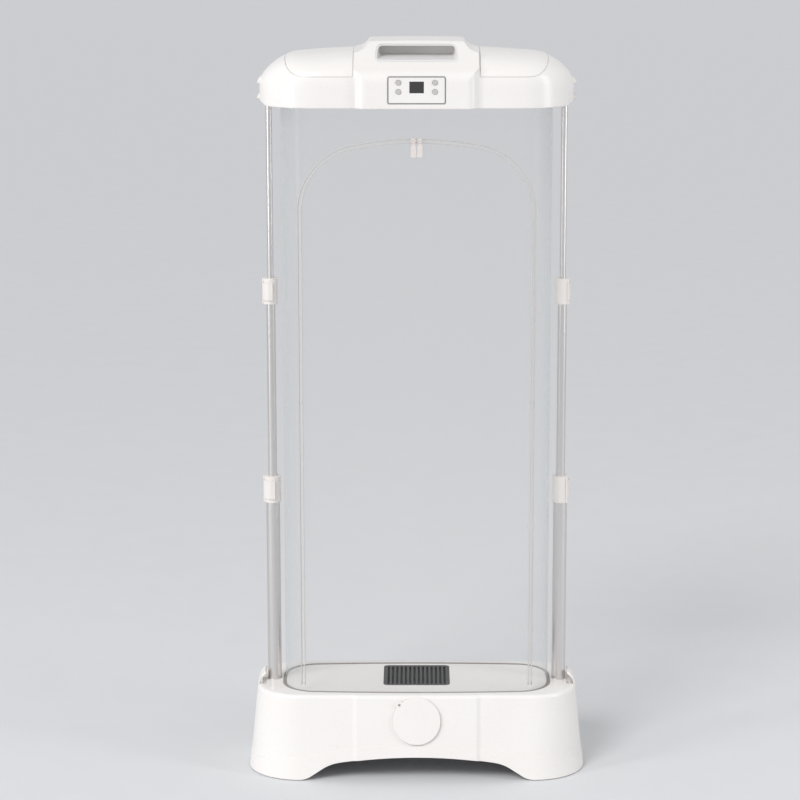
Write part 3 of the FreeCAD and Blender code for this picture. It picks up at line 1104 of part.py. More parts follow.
def make_hood_shell():
    rim = mm("hood_rim")
    outside = free_form("hood_outside", hood_form(0, rim))
    inside = free_form("hood_inside", hood_form(mm("hood_wall"), rim - mm("hood_wall")))
    posts = [rod("hood_post", "post_radius", "hood_crown - liner_low", f"{side_x} * post_x",
                 f"{side_y} * hood_post_y", "liner_low + liner_thick")
             for side_x in (-1, 1) for side_y in (-1, 1)]
    room = cut("hood_room", inside, *posts)
    keepers = keeper_bars()
    keepers += [mirrored("left_keeper", made) for made in keepers]
    sunk = dome(mm("cover_thick") + mm("part_gap"), rim - mm("hood_wall"))
    right_recess = free_form("cover_recess", cover_region(mm("part_gap")).cut(sunk))
    walls = joined("hood_walls", cut("hood_blank", outside, room), *keepers)
    recessed = cut("hood_recessed", cut("hood_half_recessed", walls, right_recess),
                   mirrored("left_cover_recess", right_recess))
    sweep = rim_sweep()
    cutters = [
        sweep, mirrored("left_rim_sweep", sweep),
        free_form("grip_opening", grip_form(mm("grip_liner") + mm("fit_gap"))),
        upright("panel_recess", "panel_width + 2 * panel_gap", "panel_tall + 2 * panel_gap",
                "2 * panel_sink", "panel_round", 0, "-block_depth", "panel_z"),
        upright("panel_opening", "panel_width - 2 * panel_seat + run_gap",
                "panel_tall - 2 * panel_seat + run_gap", "4 * hood_wall", "panel_round", 0,
                "-block_depth", "panel_z")]
    for side_x in (-1, 1):
        for side_y in (-1, 1):
            cutters.append(rod("hood_screw_hole", "screw_radius + fit_gap", "screw_length",
                               f"{side_x} * post_x", f"{side_y} * hood_post_y", "liner_low"))
    node(cut("hood_shell", recessed, *cutters))

    leaf = dome(0, rim).cut(dome(mm("cover_thick"), rim - mm("hood_wall"))).common(cover_region(0))
    cover = node(free_form("right_cover", leaf))
    node(mirrored("left_cover", cover))

    liner = grip_form(mm("grip_liner")).common(block_form(0, rim))
    node(free_form("handle_liner", liner.cut(grip_form(0, mm("grip_liner")))))


def make_controls():
    middle = f"({PANEL_FRONT} + {PANEL_BACK}) / 2"
    blank = upright("panel_blank", "panel_width", "panel_tall", "panel_thick", "panel_round", 0, middle,
                    "panel_z")
    bosses, holes, boss_length = [], [], "logic_back"
    for side_x in (-1, 1):
        for side_z in (-1, 1):
            bosses.append(rod("panel_boss", "panel_boss", boss_length, f"{side_x} * panel_boss_x",
                              PANEL_BACK, f"panel_z + {side_z} * panel_boss_z", "Y"))
    holes.append(block("window_opening", "window_width + 2 * fit_gap", "4 * panel_thick",
                       "window_tall + 2 * fit_gap", 0, middle,
                       "panel_z + window_lift - window_tall / 2 - fit_gap"))
    button_rows = (("upper", "button_upper"), ("lower", "button_lower"))
    for row_name, row in button_rows:
        for side_name, side in (("left", -1), ("right", 1)):
            x, z = f"{side} * button_x", f"panel_z + {row}"
            holes.append(rod("button_hole", "button_radius + part_gap", "4 * panel_thick", x,
                             f"{PANEL_FRONT} - panel_thick", z, "Y"))
            back = f"{PANEL_BACK} + part_gap"
            node(joined(
                f"{side_name}_{row_name}_button",
                rod("button_cap", "button_radius", "button_proud + panel_thick + part_gap", x,
                    f"{PANEL_FRONT} - button_proud", z, "Y"),
                rod("button_rim", "button_radius + button_flange", "button_flange_thick", x, back, z, "Y"),
                rod("button_pusher", "button_stem", "button_flange_thick + button_stem_length", x, back, z,
                    "Y")))
    node(cut("control_plate", joined("plate_blank", blank, *bosses), *holes))
    node(block("display_window", "window_width", "window_thick - fit_gap", "window_tall", 0,
               f"{PANEL_FRONT} + (window_thick + fit_gap) / 2", "panel_z + window_lift - window_tall / 2"))

    board_front = f"{PANEL_BACK} + logic_back"
    tip = f"{PANEL_BACK} + part_gap + button_flange_thick + button_stem_length + button_travel + part_gap"
    parts = [block("logic_sheet", "logic_width", "logic_thick", "logic_tall", 0,
                   f"{board_front} + logic_thick / 2", "panel_z - logic_tall / 2"),
             block("display_module", "window_width - 2 * part_gap", "logic_back - part_gap",
                   "window_tall - 2 * part_gap", 0, f"{board_front} - (logic_back - part_gap) / 2",
                   "panel_z + window_lift - window_tall / 2 + part_gap")]
    for _, row in button_rows:
        for side in (-1, 1):
            parts.append(block("switch", "switch_size", f"{board_front} - ({tip})", "switch_size",
                               f"{side} * button_x", f"({board_front} + {tip}) / 2",
                               f"panel_z + {row} - switch_size / 2"))
    node(joined("control_board", *parts))


def make_hood_liner():
    inset = mm("hood_wall") + mm("part_gap")
    room = free_form("liner_room", hood_form(inset, mm("hood_rim")))
    brim = shared("liner_brim", room, block("liner_slab", "base_width", "base_width", "liner_thick", 0, 0,
                                           "liner_low"))
    chamber = plate("chamber_blank", "2 * (chamber_half + liner_thick)",
                    "2 * (chamber_half_depth + liner_thick)", "chamber_top + liner_thick - liner_low",
                    "chamber_round + liner_thick", 0, 0, "liner_low")
    cavity = plate("chamber_cavity", "2 * chamber_half", "2 * chamber_half_depth",
                   "chamber_top - liner_low + liner_thick", "chamber_round", 0, 0, "liner_low - liner_thick")
    cups, bores, screws = [], [], []
    for side in (-1, 1):
        cups.append(rod("rail_cup", "rail_radius + rail_cup_wall", "rail_cup + liner_thick / 2",
                        "chamber_half + liner_thick / 2 - rail_cup - liner_thick / 2" if side > 0 else
                        "-chamber_half - liner_thick / 2", 0, "rail_z", "X"))
        bores.append(rod("boss_bore", "upper_radius + fit_gap", "upper_end - liner_low + liner_thick",
                         f"{side} * pole_x", 0, "liner_low - liner_thick"))
        for side_y in (-1, 1):
            where = (f"{side} * post_x", f"{side_y} * hood_post_y")
            bores.append(rod("liner_screw_hole", "screw_radius + fit_gap", "liner_thick * 2", *where,
                             "liner_low - liner_thick / 2"))
            screws.append(joined("hood_screw",
                                 rod("hood_screw_head", "screw_head", "screw_head_thick", *where,
                                     "liner_low - screw_head_thick"),
                                 rod("hood_screw_shank", "screw_radius", "screw_length - fit_gap", *where,
                                     "liner_low")))
    bosses = [rod("tube_boss", "boss_radius", "boss_height + liner_thick", f"{side} * pole_x", 0, "liner_low")
              for side in (-1, 1)]
    rail_bore = rod("rail_bore", "rail_radius + fit_gap", "2 * chamber_half", "-chamber_half", 0, "rail_z",
                    "X")
    shell = cut("liner_shell", joined("liner_blank", brim, chamber, *bosses), cavity)
    node(cut("hood_liner", joined("liner_cupped", shell, *cups), rail_bore, *bores))
    node(rod("hanger_rail", "rail_radius", "2 * (chamber_half - part_gap)", "-chamber_half + part_gap", 0,
             "rail_z", "X"))
    node(group("hood_screws", *screws))


# ---------------------------------------------------------------- the whole dryer
def write_parts():
    """Checks every object of the document and each node, then writes the nodes."""
    doc.recompute()
    for thing in doc.Objects:
        if {"Invalid", "Error"} & set(thing.State):
            raise RuntimeError(f"{thing.Label} did not build: {thing.State}")
    for made in NODES:
        if made.Shape.isNull() or not made.Shape.isValid() or not made.Shape.Solids:
            raise RuntimeError(f"{made.Label} has no sound solid")
    os.makedirs("parts", exist_ok=True)
    for made in NODES:
        made.Shape.exportStep(f"parts/{made.Label}.step")
        print(f"{made.Label}: {len(made.Shape.Solids)} solids, {made.Shape.Volume / 1000:.1f} cm3")


make_base_housing()
make_underside()
make_deck()
make_blower()
make_electrics()
make_port()
make_latches()
make_poles()
make_clamps()
make_bag()
make_zip_pulls()
make_hood_shell()
make_controls()
make_hood_liner()
write_parts()
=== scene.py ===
"""The look of a portable clothes dryer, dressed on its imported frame.

Metres. X runs to the viewer's right, Y to the back, Z up; the origin is on the floor under the centre.
"""
import math

import bmesh
import bpy
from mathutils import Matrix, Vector


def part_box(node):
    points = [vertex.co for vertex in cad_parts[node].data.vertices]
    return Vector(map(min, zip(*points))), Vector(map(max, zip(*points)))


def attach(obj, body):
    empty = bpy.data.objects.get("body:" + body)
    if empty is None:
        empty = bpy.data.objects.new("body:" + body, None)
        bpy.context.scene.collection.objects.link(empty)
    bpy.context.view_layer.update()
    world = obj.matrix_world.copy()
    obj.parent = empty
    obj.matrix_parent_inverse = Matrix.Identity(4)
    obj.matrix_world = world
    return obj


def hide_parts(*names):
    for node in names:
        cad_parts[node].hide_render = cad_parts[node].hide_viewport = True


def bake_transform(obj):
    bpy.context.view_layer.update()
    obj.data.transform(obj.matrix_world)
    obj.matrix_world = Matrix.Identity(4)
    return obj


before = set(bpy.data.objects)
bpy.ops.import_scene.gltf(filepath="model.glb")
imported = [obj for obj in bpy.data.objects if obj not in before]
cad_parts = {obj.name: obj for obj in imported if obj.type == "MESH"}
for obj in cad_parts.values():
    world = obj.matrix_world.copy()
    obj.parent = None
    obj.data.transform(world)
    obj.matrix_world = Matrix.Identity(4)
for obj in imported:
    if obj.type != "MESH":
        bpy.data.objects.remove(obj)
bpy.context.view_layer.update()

MM = 0.001

# ---------------------------------------------------------------- camera
CAMERA_AWAY = 4.70      # from the dryer's middle plane
CAMERA_UP = 1.67
AIM_UP = 0.682          # the camera leans down to here, so that its frame needs hardly any lens shift
LENS_MM, SENSOR_MM = 118.9, 36
SHIFT_X = -0.0208       # the dryer stands a little right of the frame's middle

view = bpy.data.cameras.new("viewer")
view.lens, view.sensor_width = LENS_MM, SENSOR_MM
view.shift_x = SHIFT_X
camera = bpy.data.objects.new("viewer", view)
camera.location = (0, -CAMERA_AWAY, CAMERA_UP)
camera.rotation_euler = (math.radians(90) - math.atan((CAMERA_UP - AIM_UP) / CAMERA_AWAY), 0, 0)
bpy.context.scene.collection.objects.link(camera)
bpy.context.scene.camera = camera


# ---------------------------------------------------------------- materials
def linear(code):
    """An sRGB hex value as the linear colour that a shader takes."""
    parts = [int(code[k:k + 2], 16) / 255 for k in (1, 3, 5)]
    return tuple(p / 12.92 if p <= 0.04045 else ((p + 0.055) / 1.055) ** 2.4 for p in parts) + (1.0,)


def add(material, kind, links=(), **settings):
    """Adds a node. A setting is one of its properties or, with a leading input_, the value of one of
    its sockets. A link is the output that feeds it and its own input."""
    tree = material.node_tree
    made = tree.nodes.new(kind)
    for name, value in settings.items():
        if name.startswith("input_"):
            key = name[6:]
            made.inputs[int(key) if key.isdigit() else key.replace("_", " ")].default_value = value
        else:
            setattr(made, name, value)
    for source, target in links:
        tree.links.new(source, made.inputs[target])
    return made


def start(name):
    """A fresh material and its shader."""
    material = bpy.data.materials.new(name)
    material.use_nodes = True
    return material, material.node_tree.nodes["Principled BSDF"]


def join(material, source, target):
    material.node_tree.links.new(source, target)


def per_metre(size_mm):
    """The scale of a pattern whose features are this many millimetres apart."""
    return 1 / (size_mm * MM)


def place(material):
    """Coordinates that stay with the piece, in metres."""
    return add(material, "ShaderNodeTexCoord").outputs["Object"]


PLASTIC_IOR, ACRYLIC_IOR, FILM_IOR = 1.54, 1.49, 1.50
CLOUD_MM, CLOUD_DETAIL = 90, 3.0        # the faint unevenness of a big moulding
GRAIN_DETAIL = 2.0
EDGE_SAMPLES = 4
MOULD_RELIEF, METAL_RELIEF = 0.5, 0.25
MOULD_POLISH = (-0.04, 0.05)            # how far the roughness strays from its middle value
METAL_POLISH = (-0.07, 0.08)
METAL_EDGE_MM, METAL_DEPTH_MM = 0.3, 0.02


def moulded(name, colour, shade, roughness, grain_mm, grain_depth_mm, edge_mm=0.6):
    """Injection-moulded plastic: an even colour with a faint cloud in it, a fine mould texture that
    breaks the gloss a little, and edges that are never quite sharp."""
    material, shader = start(name)
    where = place(material)
    cloud = add(material, "ShaderNodeTexNoise", [(where, "Vector")], input_Scale=per_metre(CLOUD_MM),
                input_Detail=CLOUD_DETAIL)
    mix = add(material, "ShaderNodeMix", [(cloud.outputs["Fac"], 0)], data_type="RGBA",
              input_6=linear(colour), input_7=linear(shade))
    grain = add(material, "ShaderNodeTexNoise", [(where, "Vector")], input_Scale=per_metre(grain_mm),
                input_Detail=GRAIN_DETAIL)
    edge = add(material, "ShaderNodeBevel", samples=EDGE_SAMPLES, input_Radius=edge_mm * MM)
    relief = add(material, "ShaderNodeBump", [(grain.outputs["Fac"], "Height"), (edge.outputs[0], "Normal")],
                 input_Strength=MOULD_RELIEF, input_Distance=grain_depth_mm * MM)
    polish = add(material, "ShaderNodeMapRange", [(grain.outputs["Fac"], "Value")],
                 input_To_Min=roughness + MOULD_POLISH[0], input_To_Max=roughness + MOULD_POLISH[1])
    join(material, mix.outputs[2], shader.inputs["Base Color"])
    join(material, relief.outputs[0], shader.inputs["Normal"])
    join(material, polish.outputs[0], shader.inputs["Roughness"])
    shader.inputs["IOR"].default_value = PLASTIC_IOR
    return material


def worked_metal(name, colour, roughness, line_mm, length_mm, along):
    """Drawn, turned or rolled metal: fine lines along one direction that stretch its highlights."""
    material, shader = start(name)
    where = place(material)
    scale = [per_metre(line_mm)] * 3
    scale["XYZ".index(along)] = per_metre(length_mm)
    lines = add(material, "ShaderNodeMapping", [(where, "Vector")], input_Scale=scale)
    grain = add(material, "ShaderNodeTexNoise", [(lines.outputs[0], "Vector")], input_Scale=1.0,
                input_Detail=GRAIN_DETAIL)
    polish = add(material, "ShaderNodeMapRange", [(grain.outputs["Fac"], "Value")],
                 input_To_Min=roughness + METAL_POLISH[0], input_To_Max=roughness + METAL_POLISH[1])
    edge = add(material, "ShaderNodeBevel", samples=EDGE_SAMPLES, input_Radius=METAL_EDGE_MM * MM)
    relief = add(material, "ShaderNodeBump", [(grain.outputs["Fac"], "Height"), (edge.outputs[0], "Normal")],
                 input_Strength=METAL_RELIEF, input_Distance=METAL_DEPTH_MM * MM)
    join(material, polish.outputs[0], shader.inputs["Roughness"])
    join(material, relief.outputs[0], shader.inputs["Normal"])
    shader.inputs["Base Color"].default_value = linear(colour)
    shader.inputs["Metallic"].default_value = 1.0
    return material


# housing, deck, latches, covers and panel: polished ABS, a warm white with a soft gloss
white_abs = moulded("polished_white_ABS", "#F0EDEA", "#EAE6E3", 0.27, 1.1, 0.012)
# hood: the same plastic, with the wide soft edges of its big mould
hood_abs = moulded("polished_white_ABS_soft_edged", "#F0EDEA", "#EAE6E3", 0.27, 1.1, 0.012, 3.5)
# clamps and their levers: the same plastic from a duller mould, a shade creamier
ivory_abs = moulded("satin_ivory_ABS", "#E9E4E0", "#E2DCD7", 0.40, 0.7, 0.02, 0.4)
# outlet grille and mains inlet: heat-proof nylon, near black with a brown cast
charcoal_nylon = moulded("charcoal_glass_filled_nylon", "#1D1917", "#161311", 0.46, 0.5, 0.03, 0.4)
# fan, ducts, sockets, port ring and floor cover: plain grey ABS, unpolished
grey_abs = moulded("plain_grey_ABS", "#8B8A8B", "#7E7D7E", 0.50, 0.8, 0.03)
# grip pocket: matt pale grey ABS, whose fine spark texture takes the gloss out of the hollow
grip_abs = moulded("spark_textured_grey_ABS", "#E8E6E5", "#DEDCDB", 0.52, 0.6, 0.05)
# bag frames: soft polymer, grey beige, dull
frame_tpe = moulded("grey_beige_TPE", "#A29A95", "#948C87", 0.58, 0.8, 0.03, 0.3)
# push buttons: satin silver-grey ABS
button_abs = moulded("satin_grey_button_ABS", "#C6C2C0", "#BCB8B6", 0.36, 0.5, 0.01, 0.4)
# zip pulls and sliders: pale acetal, smooth and a little waxy
pale_acetal = moulded("pale_acetal", "#E3DCD7", "#D8D0CB", 0.34, 0.5, 0.01, 0.3)
# foot pads: black rubber, dull and slightly rough
pad_rubber = moulded("black_foot_rubber", "#1E1E1F", "#272728", 0.70, 0.6, 0.06, 0.4)
# the thin gasket round the control panel: soft grey polymer whose grey is painted shade, drawing the panel's
# outline as the shadow line in its gap
panel_gap_shade_tpe = moulded("grey_gasket_TPE_painted_gap_shade", "#9A9898", "#8F8D8D", 0.50, 0.6, 0.02, 0.2)

# poles: drawn aluminium tube, satin anodised, with highlights stretched round the tube
anodised_tube = worked_metal("satin_anodised_aluminium_tube", "#DCD9D7", 0.30, 0.25, 60, "Z")
# hanger rail, pins, screws and the motor's case: zinc-plated steel, cool and brighter in spots
plated_steel = worked_metal("zinc_plated_steel", "#B9B8B6", 0.34, 0.3, 20, "X")
# heater fins: rolled aluminium, with fine upright rolling lines
rolled_fins = worked_metal("rolled_aluminium_fins", "#C9C9C8", 0.38, 0.3, 12, "Z")


HAZE_MM, WINDOW_POLISH = 6, (0.06, 0.12)
TRACK_MM, BOARD_ROUGHNESS = 14, 0.32
THREAD_MM, MESH_ROUGHNESS = 1, 0.8


def display_glass():
    """Smoked acrylic over a display that is off: dark, smooth, with a sharp reflection."""
    material, shader = start("smoked_acrylic_window")
    where = place(material)
    haze = add(material, "ShaderNodeTexNoise", [(where, "Vector")], input_Scale=per_metre(HAZE_MM))
    polish = add(material, "ShaderNodeMapRange", [(haze.outputs["Fac"], "Value")],
                 input_To_Min=WINDOW_POLISH[0], input_To_Max=WINDOW_POLISH[1])
    join(material, polish.outputs[0], shader.inputs["Roughness"])
    shader.inputs["Base Color"].default_value = linear("#3A3838")
    shader.inputs["IOR"].default_value = ACRYLIC_IOR
    return material


def circuit_board():
    """Glass-epoxy board: green lacquer, lighter where it lies over the copper tracks."""
    material, shader = start("green_lacquered_circuit_board")
    where = place(material)
    tracks = add(material, "ShaderNodeTexBrick", [(where, "Vector")], input_Scale=per_metre(TRACK_MM),
                 input_Color1=linear("#1F6A41"), input_Color2=linear("#1B5D39"), input_Mortar=linear("#2F8B58"))
    join(material, tracks.outputs["Color"], shader.inputs["Base Color"])
    shader.inputs["Roughness"].default_value = BOARD_ROUGHNESS
    return material


def filter_mesh():
    """Woven polyester mesh, dark, its threads about a millimetre apart."""
    material, shader = start("woven_polyester_filter_mesh")
    where = place(material)
    weave = add(material, "ShaderNodeTexChecker", [(where, "Vector")], input_Scale=per_metre(THREAD_MM),
                input_Color1=linear("#3C3C3F"), input_Color2=linear("#2A2A2D"))
    join(material, weave.outputs["Color"], shader.inputs["Base Color"])
    shader.inputs["Roughness"].default_value = MESH_ROUGHNESS
    return material


FACING_BLEND = 0.35
CLING_MM, CLING_DETAIL = 55, 3.0        # the soft unevenness of a thin film under its own weight
CLING_RELIEF, CLING_DEPTH_MM = 0.35, 0.6


def clear_film(name, colour, facing, edge_on, roughness):
    """Blown polymer film: hardly there where it faces the eye, and greyer where it turns away, as
    the light then goes through more of it."""
    material, shader = start(name)
    where = place(material)
    turn = add(material, "ShaderNodeLayerWeight", input_Blend=FACING_BLEND)
    density = add(material, "ShaderNodeMapRange", [(turn.outputs["Facing"], "Value")], input_To_Min=facing,
                  input_To_Max=edge_on)
    cling = add(material, "ShaderNodeTexNoise", [(where, "Vector")], input_Scale=per_metre(CLING_MM),
                input_Detail=CLING_DETAIL)
    relief = add(material, "ShaderNodeBump", [(cling.outputs["Fac"], "Height")],
                 input_Strength=CLING_RELIEF, input_Distance=CLING_DEPTH_MM * MM)
    join(material, density.outputs[0], shader.inputs["Alpha"])
    join(material, relief.outputs[0], shader.inputs["Normal"])
    shader.inputs["Base Color"].default_value = linear(colour)
    shader.inputs["Roughness"].default_value = roughness
    shader.inputs["IOR"].default_value = FILM_IOR
    return material


window_acrylic = display_glass()
board_green = circuit_board()
mesh_black = filter_mesh()
bag_film_clear = clear_film("clear_blown_TPU_film", "#CDD0D1", 0.03, 0.62, 0.09)
# the tape beside the zip is frosted, so it shows whiter than the film
zip_tape_clear = clear_film("frosted_zip_tape", "#D9D8D6", 0.20, 0.70, 0.35)
# the zip's two ribs: extruded polymer, solid and pale
zip_rib_polymer = moulded("pale_extruded_zip_rib", "#CFCBC8", "#C6C2BF", 0.38, 0.5, 0.01, 0.2)

FINISHES = {
    white_abs: ["base_housing", "deck_tray", "port_cover", "right_latch", "left_latch", "right_cover",
                "left_cover", "control_plate", "hood_liner"],
    hood_abs: ["hood_shell"],
    ivory_abs: [f"{side}_{stage}_clamp{part}" for side in ("left", "right") for stage in ("lower", "upper")
                for part in ("", "_lever")],
    charcoal_nylon: ["outlet_grille", "mains_inlet"],
    grey_abs: ["bottom_cover", "intake_grille", "fan_housing", "fan_impeller", "heater_frame", "port_ring",
               "pole_sockets", "middle_tube_bushes", "upper_tube_bushes"],
    grip_abs: ["handle_liner"],
    frame_tpe: ["bag_lower_frame", "bag_upper_frame"],
    button_abs: [f"{side}_{row}_button" for side in ("left", "right") for row in ("upper", "lower")],
    pale_acetal: ["left_zip_pull", "right_zip_pull", "zip_sliders"],
    pad_rubber: ["foot_pads"],
    anodised_tube: ["lower_tubes"] + [f"{side}_{stage}_tube" for side in ("left", "right")
                                      for stage in ("middle", "upper")],
    plated_steel: ["base_screws", "fan_motor", "port_pivot_pin", "latch_pins", "lower_clamp_pins",
                   "upper_clamp_pins", "hanger_rail", "hood_screws"],
    rolled_fins: ["heater_fins"],
    board_green: ["power_board", "control_board"],
    window_acrylic: ["display_window"],
    mesh_black: ["dust_filter"],
    bag_film_clear: ["bag_film"],
    zip_tape_clear: ["zipper_tape"],
}
for finish, names in FINISHES.items():
    for name in names:
        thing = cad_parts[name]
        thing.data.materials.clear()
        thing.data.materials.append(finish)


# ---------------------------------------------------------------- mesh building
def solid(name, points, faces, finish):
    """A mesh piece from its points and faces."""
    mesh = bpy.data.meshes.new(name)
    mesh.from_pydata([tuple(p) for p in points], [], faces)
    mesh.materials.append(finish)
    work = bmesh.new()
    work.from_mesh(mesh)
    bmesh.ops.recalc_face_normals(work, faces=work.faces)
    work.to_mesh(mesh)
    work.free()
    for face in mesh.polygons:
        face.use_smooth = True
    made = bpy.data.objects.new(name, mesh)
    bpy.context.scene.collection.objects.link(made)
    return made


def skinned(name, rows, finish, closed_rows=True, closed_ends=False):
    """A surface through rows of points that all have the same count. Closed rows are rings, capped at
    the first and last one, and with closed ends the last ring runs on into the first."""
    count = len(rows[0])
    points = [p for row in rows for p in row]
    faces = []
    for k in range(len(rows) if closed_ends else len(rows) - 1):
        here, there = k * count, (k + 1) % len(rows) * count
        for j in range(count if closed_rows else count - 1):
            turn = (j + 1) % count
            faces.append((here + j, here + turn, there + turn, there + j))
    if closed_rows and not closed_ends:
        faces.append(tuple(range(count)))
        faces.append(tuple(range(len(points) - count, len(points))))
    return solid(name, points, faces, finish)


# ---------------------------------------------------------------- the film bag
film_low, film_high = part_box("bag_film")
HALF_WIDTH, HALF_DEPTH = film_high.x, film_high.y
CORNER, SIDE_ROUND, END_ROUND = 58 * MM, 2900 * MM, 600 * MM
FILM_THICK = 0.6 * MM
BAG_SPLIT = 0.690       # the level where the film and the zip are split into lower and upper pieces; on the real dryer the part above it rises with the middle poles
OUTLINE_POINTS = 260
FILM_ROWS = 64


def bag_plan():
    """The bag's plan as points and outward normals: bowed sides, bulged ends, round corners."""
    end = Vector((HALF_WIDTH - END_ROUND, 0))
    side = Vector((0, HALF_DEPTH - SIDE_ROUND))
    span = end - side
    to_side, to_end = SIDE_ROUND - CORNER, END_ROUND - CORNER
    along = (to_side ** 2 - to_end ** 2 + span.length ** 2) / (2 * span.length)
    across = math.sqrt(to_side ** 2 - along ** 2)
    unit = span.normalized()
    middle = side + unit * along + Vector((-unit.y, unit.x)) * across
    if middle.x < 0:
        middle = side + unit * along - Vector((-unit.y, unit.x)) * across
    low = math.atan2(middle.y, middle.x - end.x)
    high = math.atan2(middle.y - side.y, middle.x)
    quarter = [(end, END_ROUND, 0, low), (middle, CORNER, low, high), (side, SIDE_ROUND, high, math.pi / 2)]
    length = sum(radius * (stop - begin) for _, radius, begin, stop in quarter)
    steps = OUTLINE_POINTS // 4
    found = []
    for k in range(steps):
        run = length * k / steps
        for centre, radius, begin, stop in quarter:
            if run <= radius * (stop - begin):
                turn = begin + run / radius
                found.append((centre + radius * Vector((math.cos(turn), math.sin(turn))), turn))
                break
            run -= radius * (stop - begin)
    found.append((Vector((0, HALF_DEPTH)), math.pi / 2))
    plan = [(p, Vector((math.cos(t), math.sin(t)))) for p, t in found]
    plan += [(Vector((-p.x, p.y)), Vector((-n.x, n.y))) for p, n in reversed(plan[:-1])]
    plan += [(Vector((p.x, -p.y)), Vector((n.x, -n.y))) for p, n in reversed(plan[1:-1])]
    return plan


PLAN = bag_plan()
RIPPLE = 0.7 * MM
FADE = 0.6                                          # how fast the flutes die away at the frames
BROAD_SHARE, FINE_SHARE = 0.6, 0.4
BROAD, FINE, FINE_ROUND, FINE_RISE = 31, 67, 40, 3.1    # turn of the flutes, in radians per metre
WANDER, WANDER_RISE = 1.7, 5.3                      # the broad flutes stray sideways as they go up


def ripple(p, z):
    """How far the film stands off its plan: soft upright flutes that fade out at both frames."""
    share = (z - film_low.z) / (film_high.z - film_low.z)
    fade = math.sin(math.pi * min(max(share, 0), 1)) ** FADE
    broad = math.sin(p.x * BROAD + WANDER * math.sin(z * WANDER_RISE))
    fine = math.sin(p.x * FINE + p.y * FINE_ROUND + z * FINE_RISE)
    return RIPPLE * fade * (broad * BROAD_SHARE + fine * FINE_SHARE)


def film_point(k, z, off=0.0):
    """The film's middle at this point of the plan and this level, or as far outside it as asked."""
    p, n = PLAN[k % len(PLAN)]
    stand = off + ripple(p, z) - FILM_THICK / 2
    return Vector((p.x + n.x * stand, p.y + n.y * stand, z))


def levels(low, high, count):
    """Evenly spaced values from low to high, both included."""
    return [low + (high - low) * k / count for k in range(count + 1)]


def bag_half(name, low, high):
    """The film all the way round between two levels, open at both ends."""
    rows = [[film_point(k, z) for k in range(len(PLAN))] for z in levels(low, high, FILM_ROWS)]
    points = [p for row in rows for p in row]
    count = len(PLAN)
    faces = []
    for k in range(FILM_ROWS):
        here, there = k * count, (k + 1) * count
        faces += [(here + j, here + (j + 1) % count, there + (j + 1) % count, there + j) for j in range(count)]
    made = solid(name, points, faces, bag_film_clear)
    return made


lower_film = bag_half("bag_film_lower", film_low.z, BAG_SPLIT)
upper_film = bag_half("bag_film_upper", BAG_SPLIT, film_high.z)
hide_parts("bag_film")
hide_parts("bag_film")

# ---------------------------------------------------------------- the zip
zip_low, zip_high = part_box("zipper_tape")
ZIP_WIDTH = 8 * MM
ZIP_HALF = zip_high.x - ZIP_WIDTH / 2
ZIP_TOP = zip_high.z - ZIP_WIDTH / 2
ZIP_CROWN, ZIP_CORNER = 586 * MM, 118 * MM
LEG_POINTS, CORNER_POINTS, CROWN_POINTS = 90, 26, 30
RIB_SIDES = 8
RIB_RADIUS = 0.9 * MM
TAPE_OFF = 0.5 * MM


def front_of(x, z, off):
    """The point of the bag's front at x and z, standing off the film."""
    best = min((k for k in range(len(PLAN)) if PLAN[k][0].y < 0), key=lambda k: abs(PLAN[k][0].x - x))
    step = 1 if (PLAN[(best + 1) % len(PLAN)][0].x - PLAN[best][0].x) * (x - PLAN[best][0].x) > 0 else -1
    here, there = film_point(best, z, off), film_point(best + step, z, off)
    share = (x - here.x) / (there.x - here.x) if abs(there.x - here.x) > 1e-9 else 0
    return here.lerp(there, min(max(share, 0), 1))


def zip_route(grow):
    """The arch from the right foot over the top to the left foot, as x and z, grown outwards."""
    half, corner, crown = ZIP_HALF + grow, ZIP_CORNER + grow, ZIP_CROWN + grow
    crown_z = ZIP_TOP - ZIP_CROWN
    corner_x = half - corner
    corner_z = crown_z + math.sqrt((ZIP_CROWN - ZIP_CORNER) ** 2 - corner_x ** 2)
    lean = math.atan2(corner_z - crown_z, corner_x)
    route = [(half, z) for z in levels(zip_low.z, corner_z, LEG_POINTS)]
    route += [(corner_x + corner * math.cos(t), corner_z + corner * math.sin(t))
              for t in levels(0, lean, CORNER_POINTS)[1:]]
    route += [(crown * math.cos(t), crown_z + crown * math.sin(t))
              for t in levels(lean, math.pi / 2, CROWN_POINTS)[1:]]
    return route + [(-x, z) for x, z in reversed(route[:-1])]


def tube_along(points, radius):
    """Rings of points round a path."""
    rows = []
    for k, p in enumerate(points):
        ahead = (points[min(k + 1, len(points) - 1)] - points[max(k - 1, 0)]).normalized()
        out = Vector((0, -1, 0))
        across = ahead.cross(out).normalized()
        out = across.cross(ahead).normalized()
        rows.append([p + radius * (math.cos(2 * math.pi * j / RIB_SIDES) * across
                                   + math.sin(2 * math.pi * j / RIB_SIDES) * out) for j in range(RIB_SIDES)])
    return rows


def zip_runs(grow):
    """The stretches of the arch above the split, and of its two legs below it."""
    route = zip_route(grow)
    above = [(x, z) for x, z in route if z > BAG_SPLIT]
    right = [(x, z) for x, z in route if z <= BAG_SPLIT and x > 0] + [(route[0][0], BAG_SPLIT)]
    left = [(-x, z) for x, z in right]
    return {"upper": [[(route[0][0], BAG_SPLIT)] + above + [(-route[0][0], BAG_SPLIT)]],
            "lower": [right, left]}


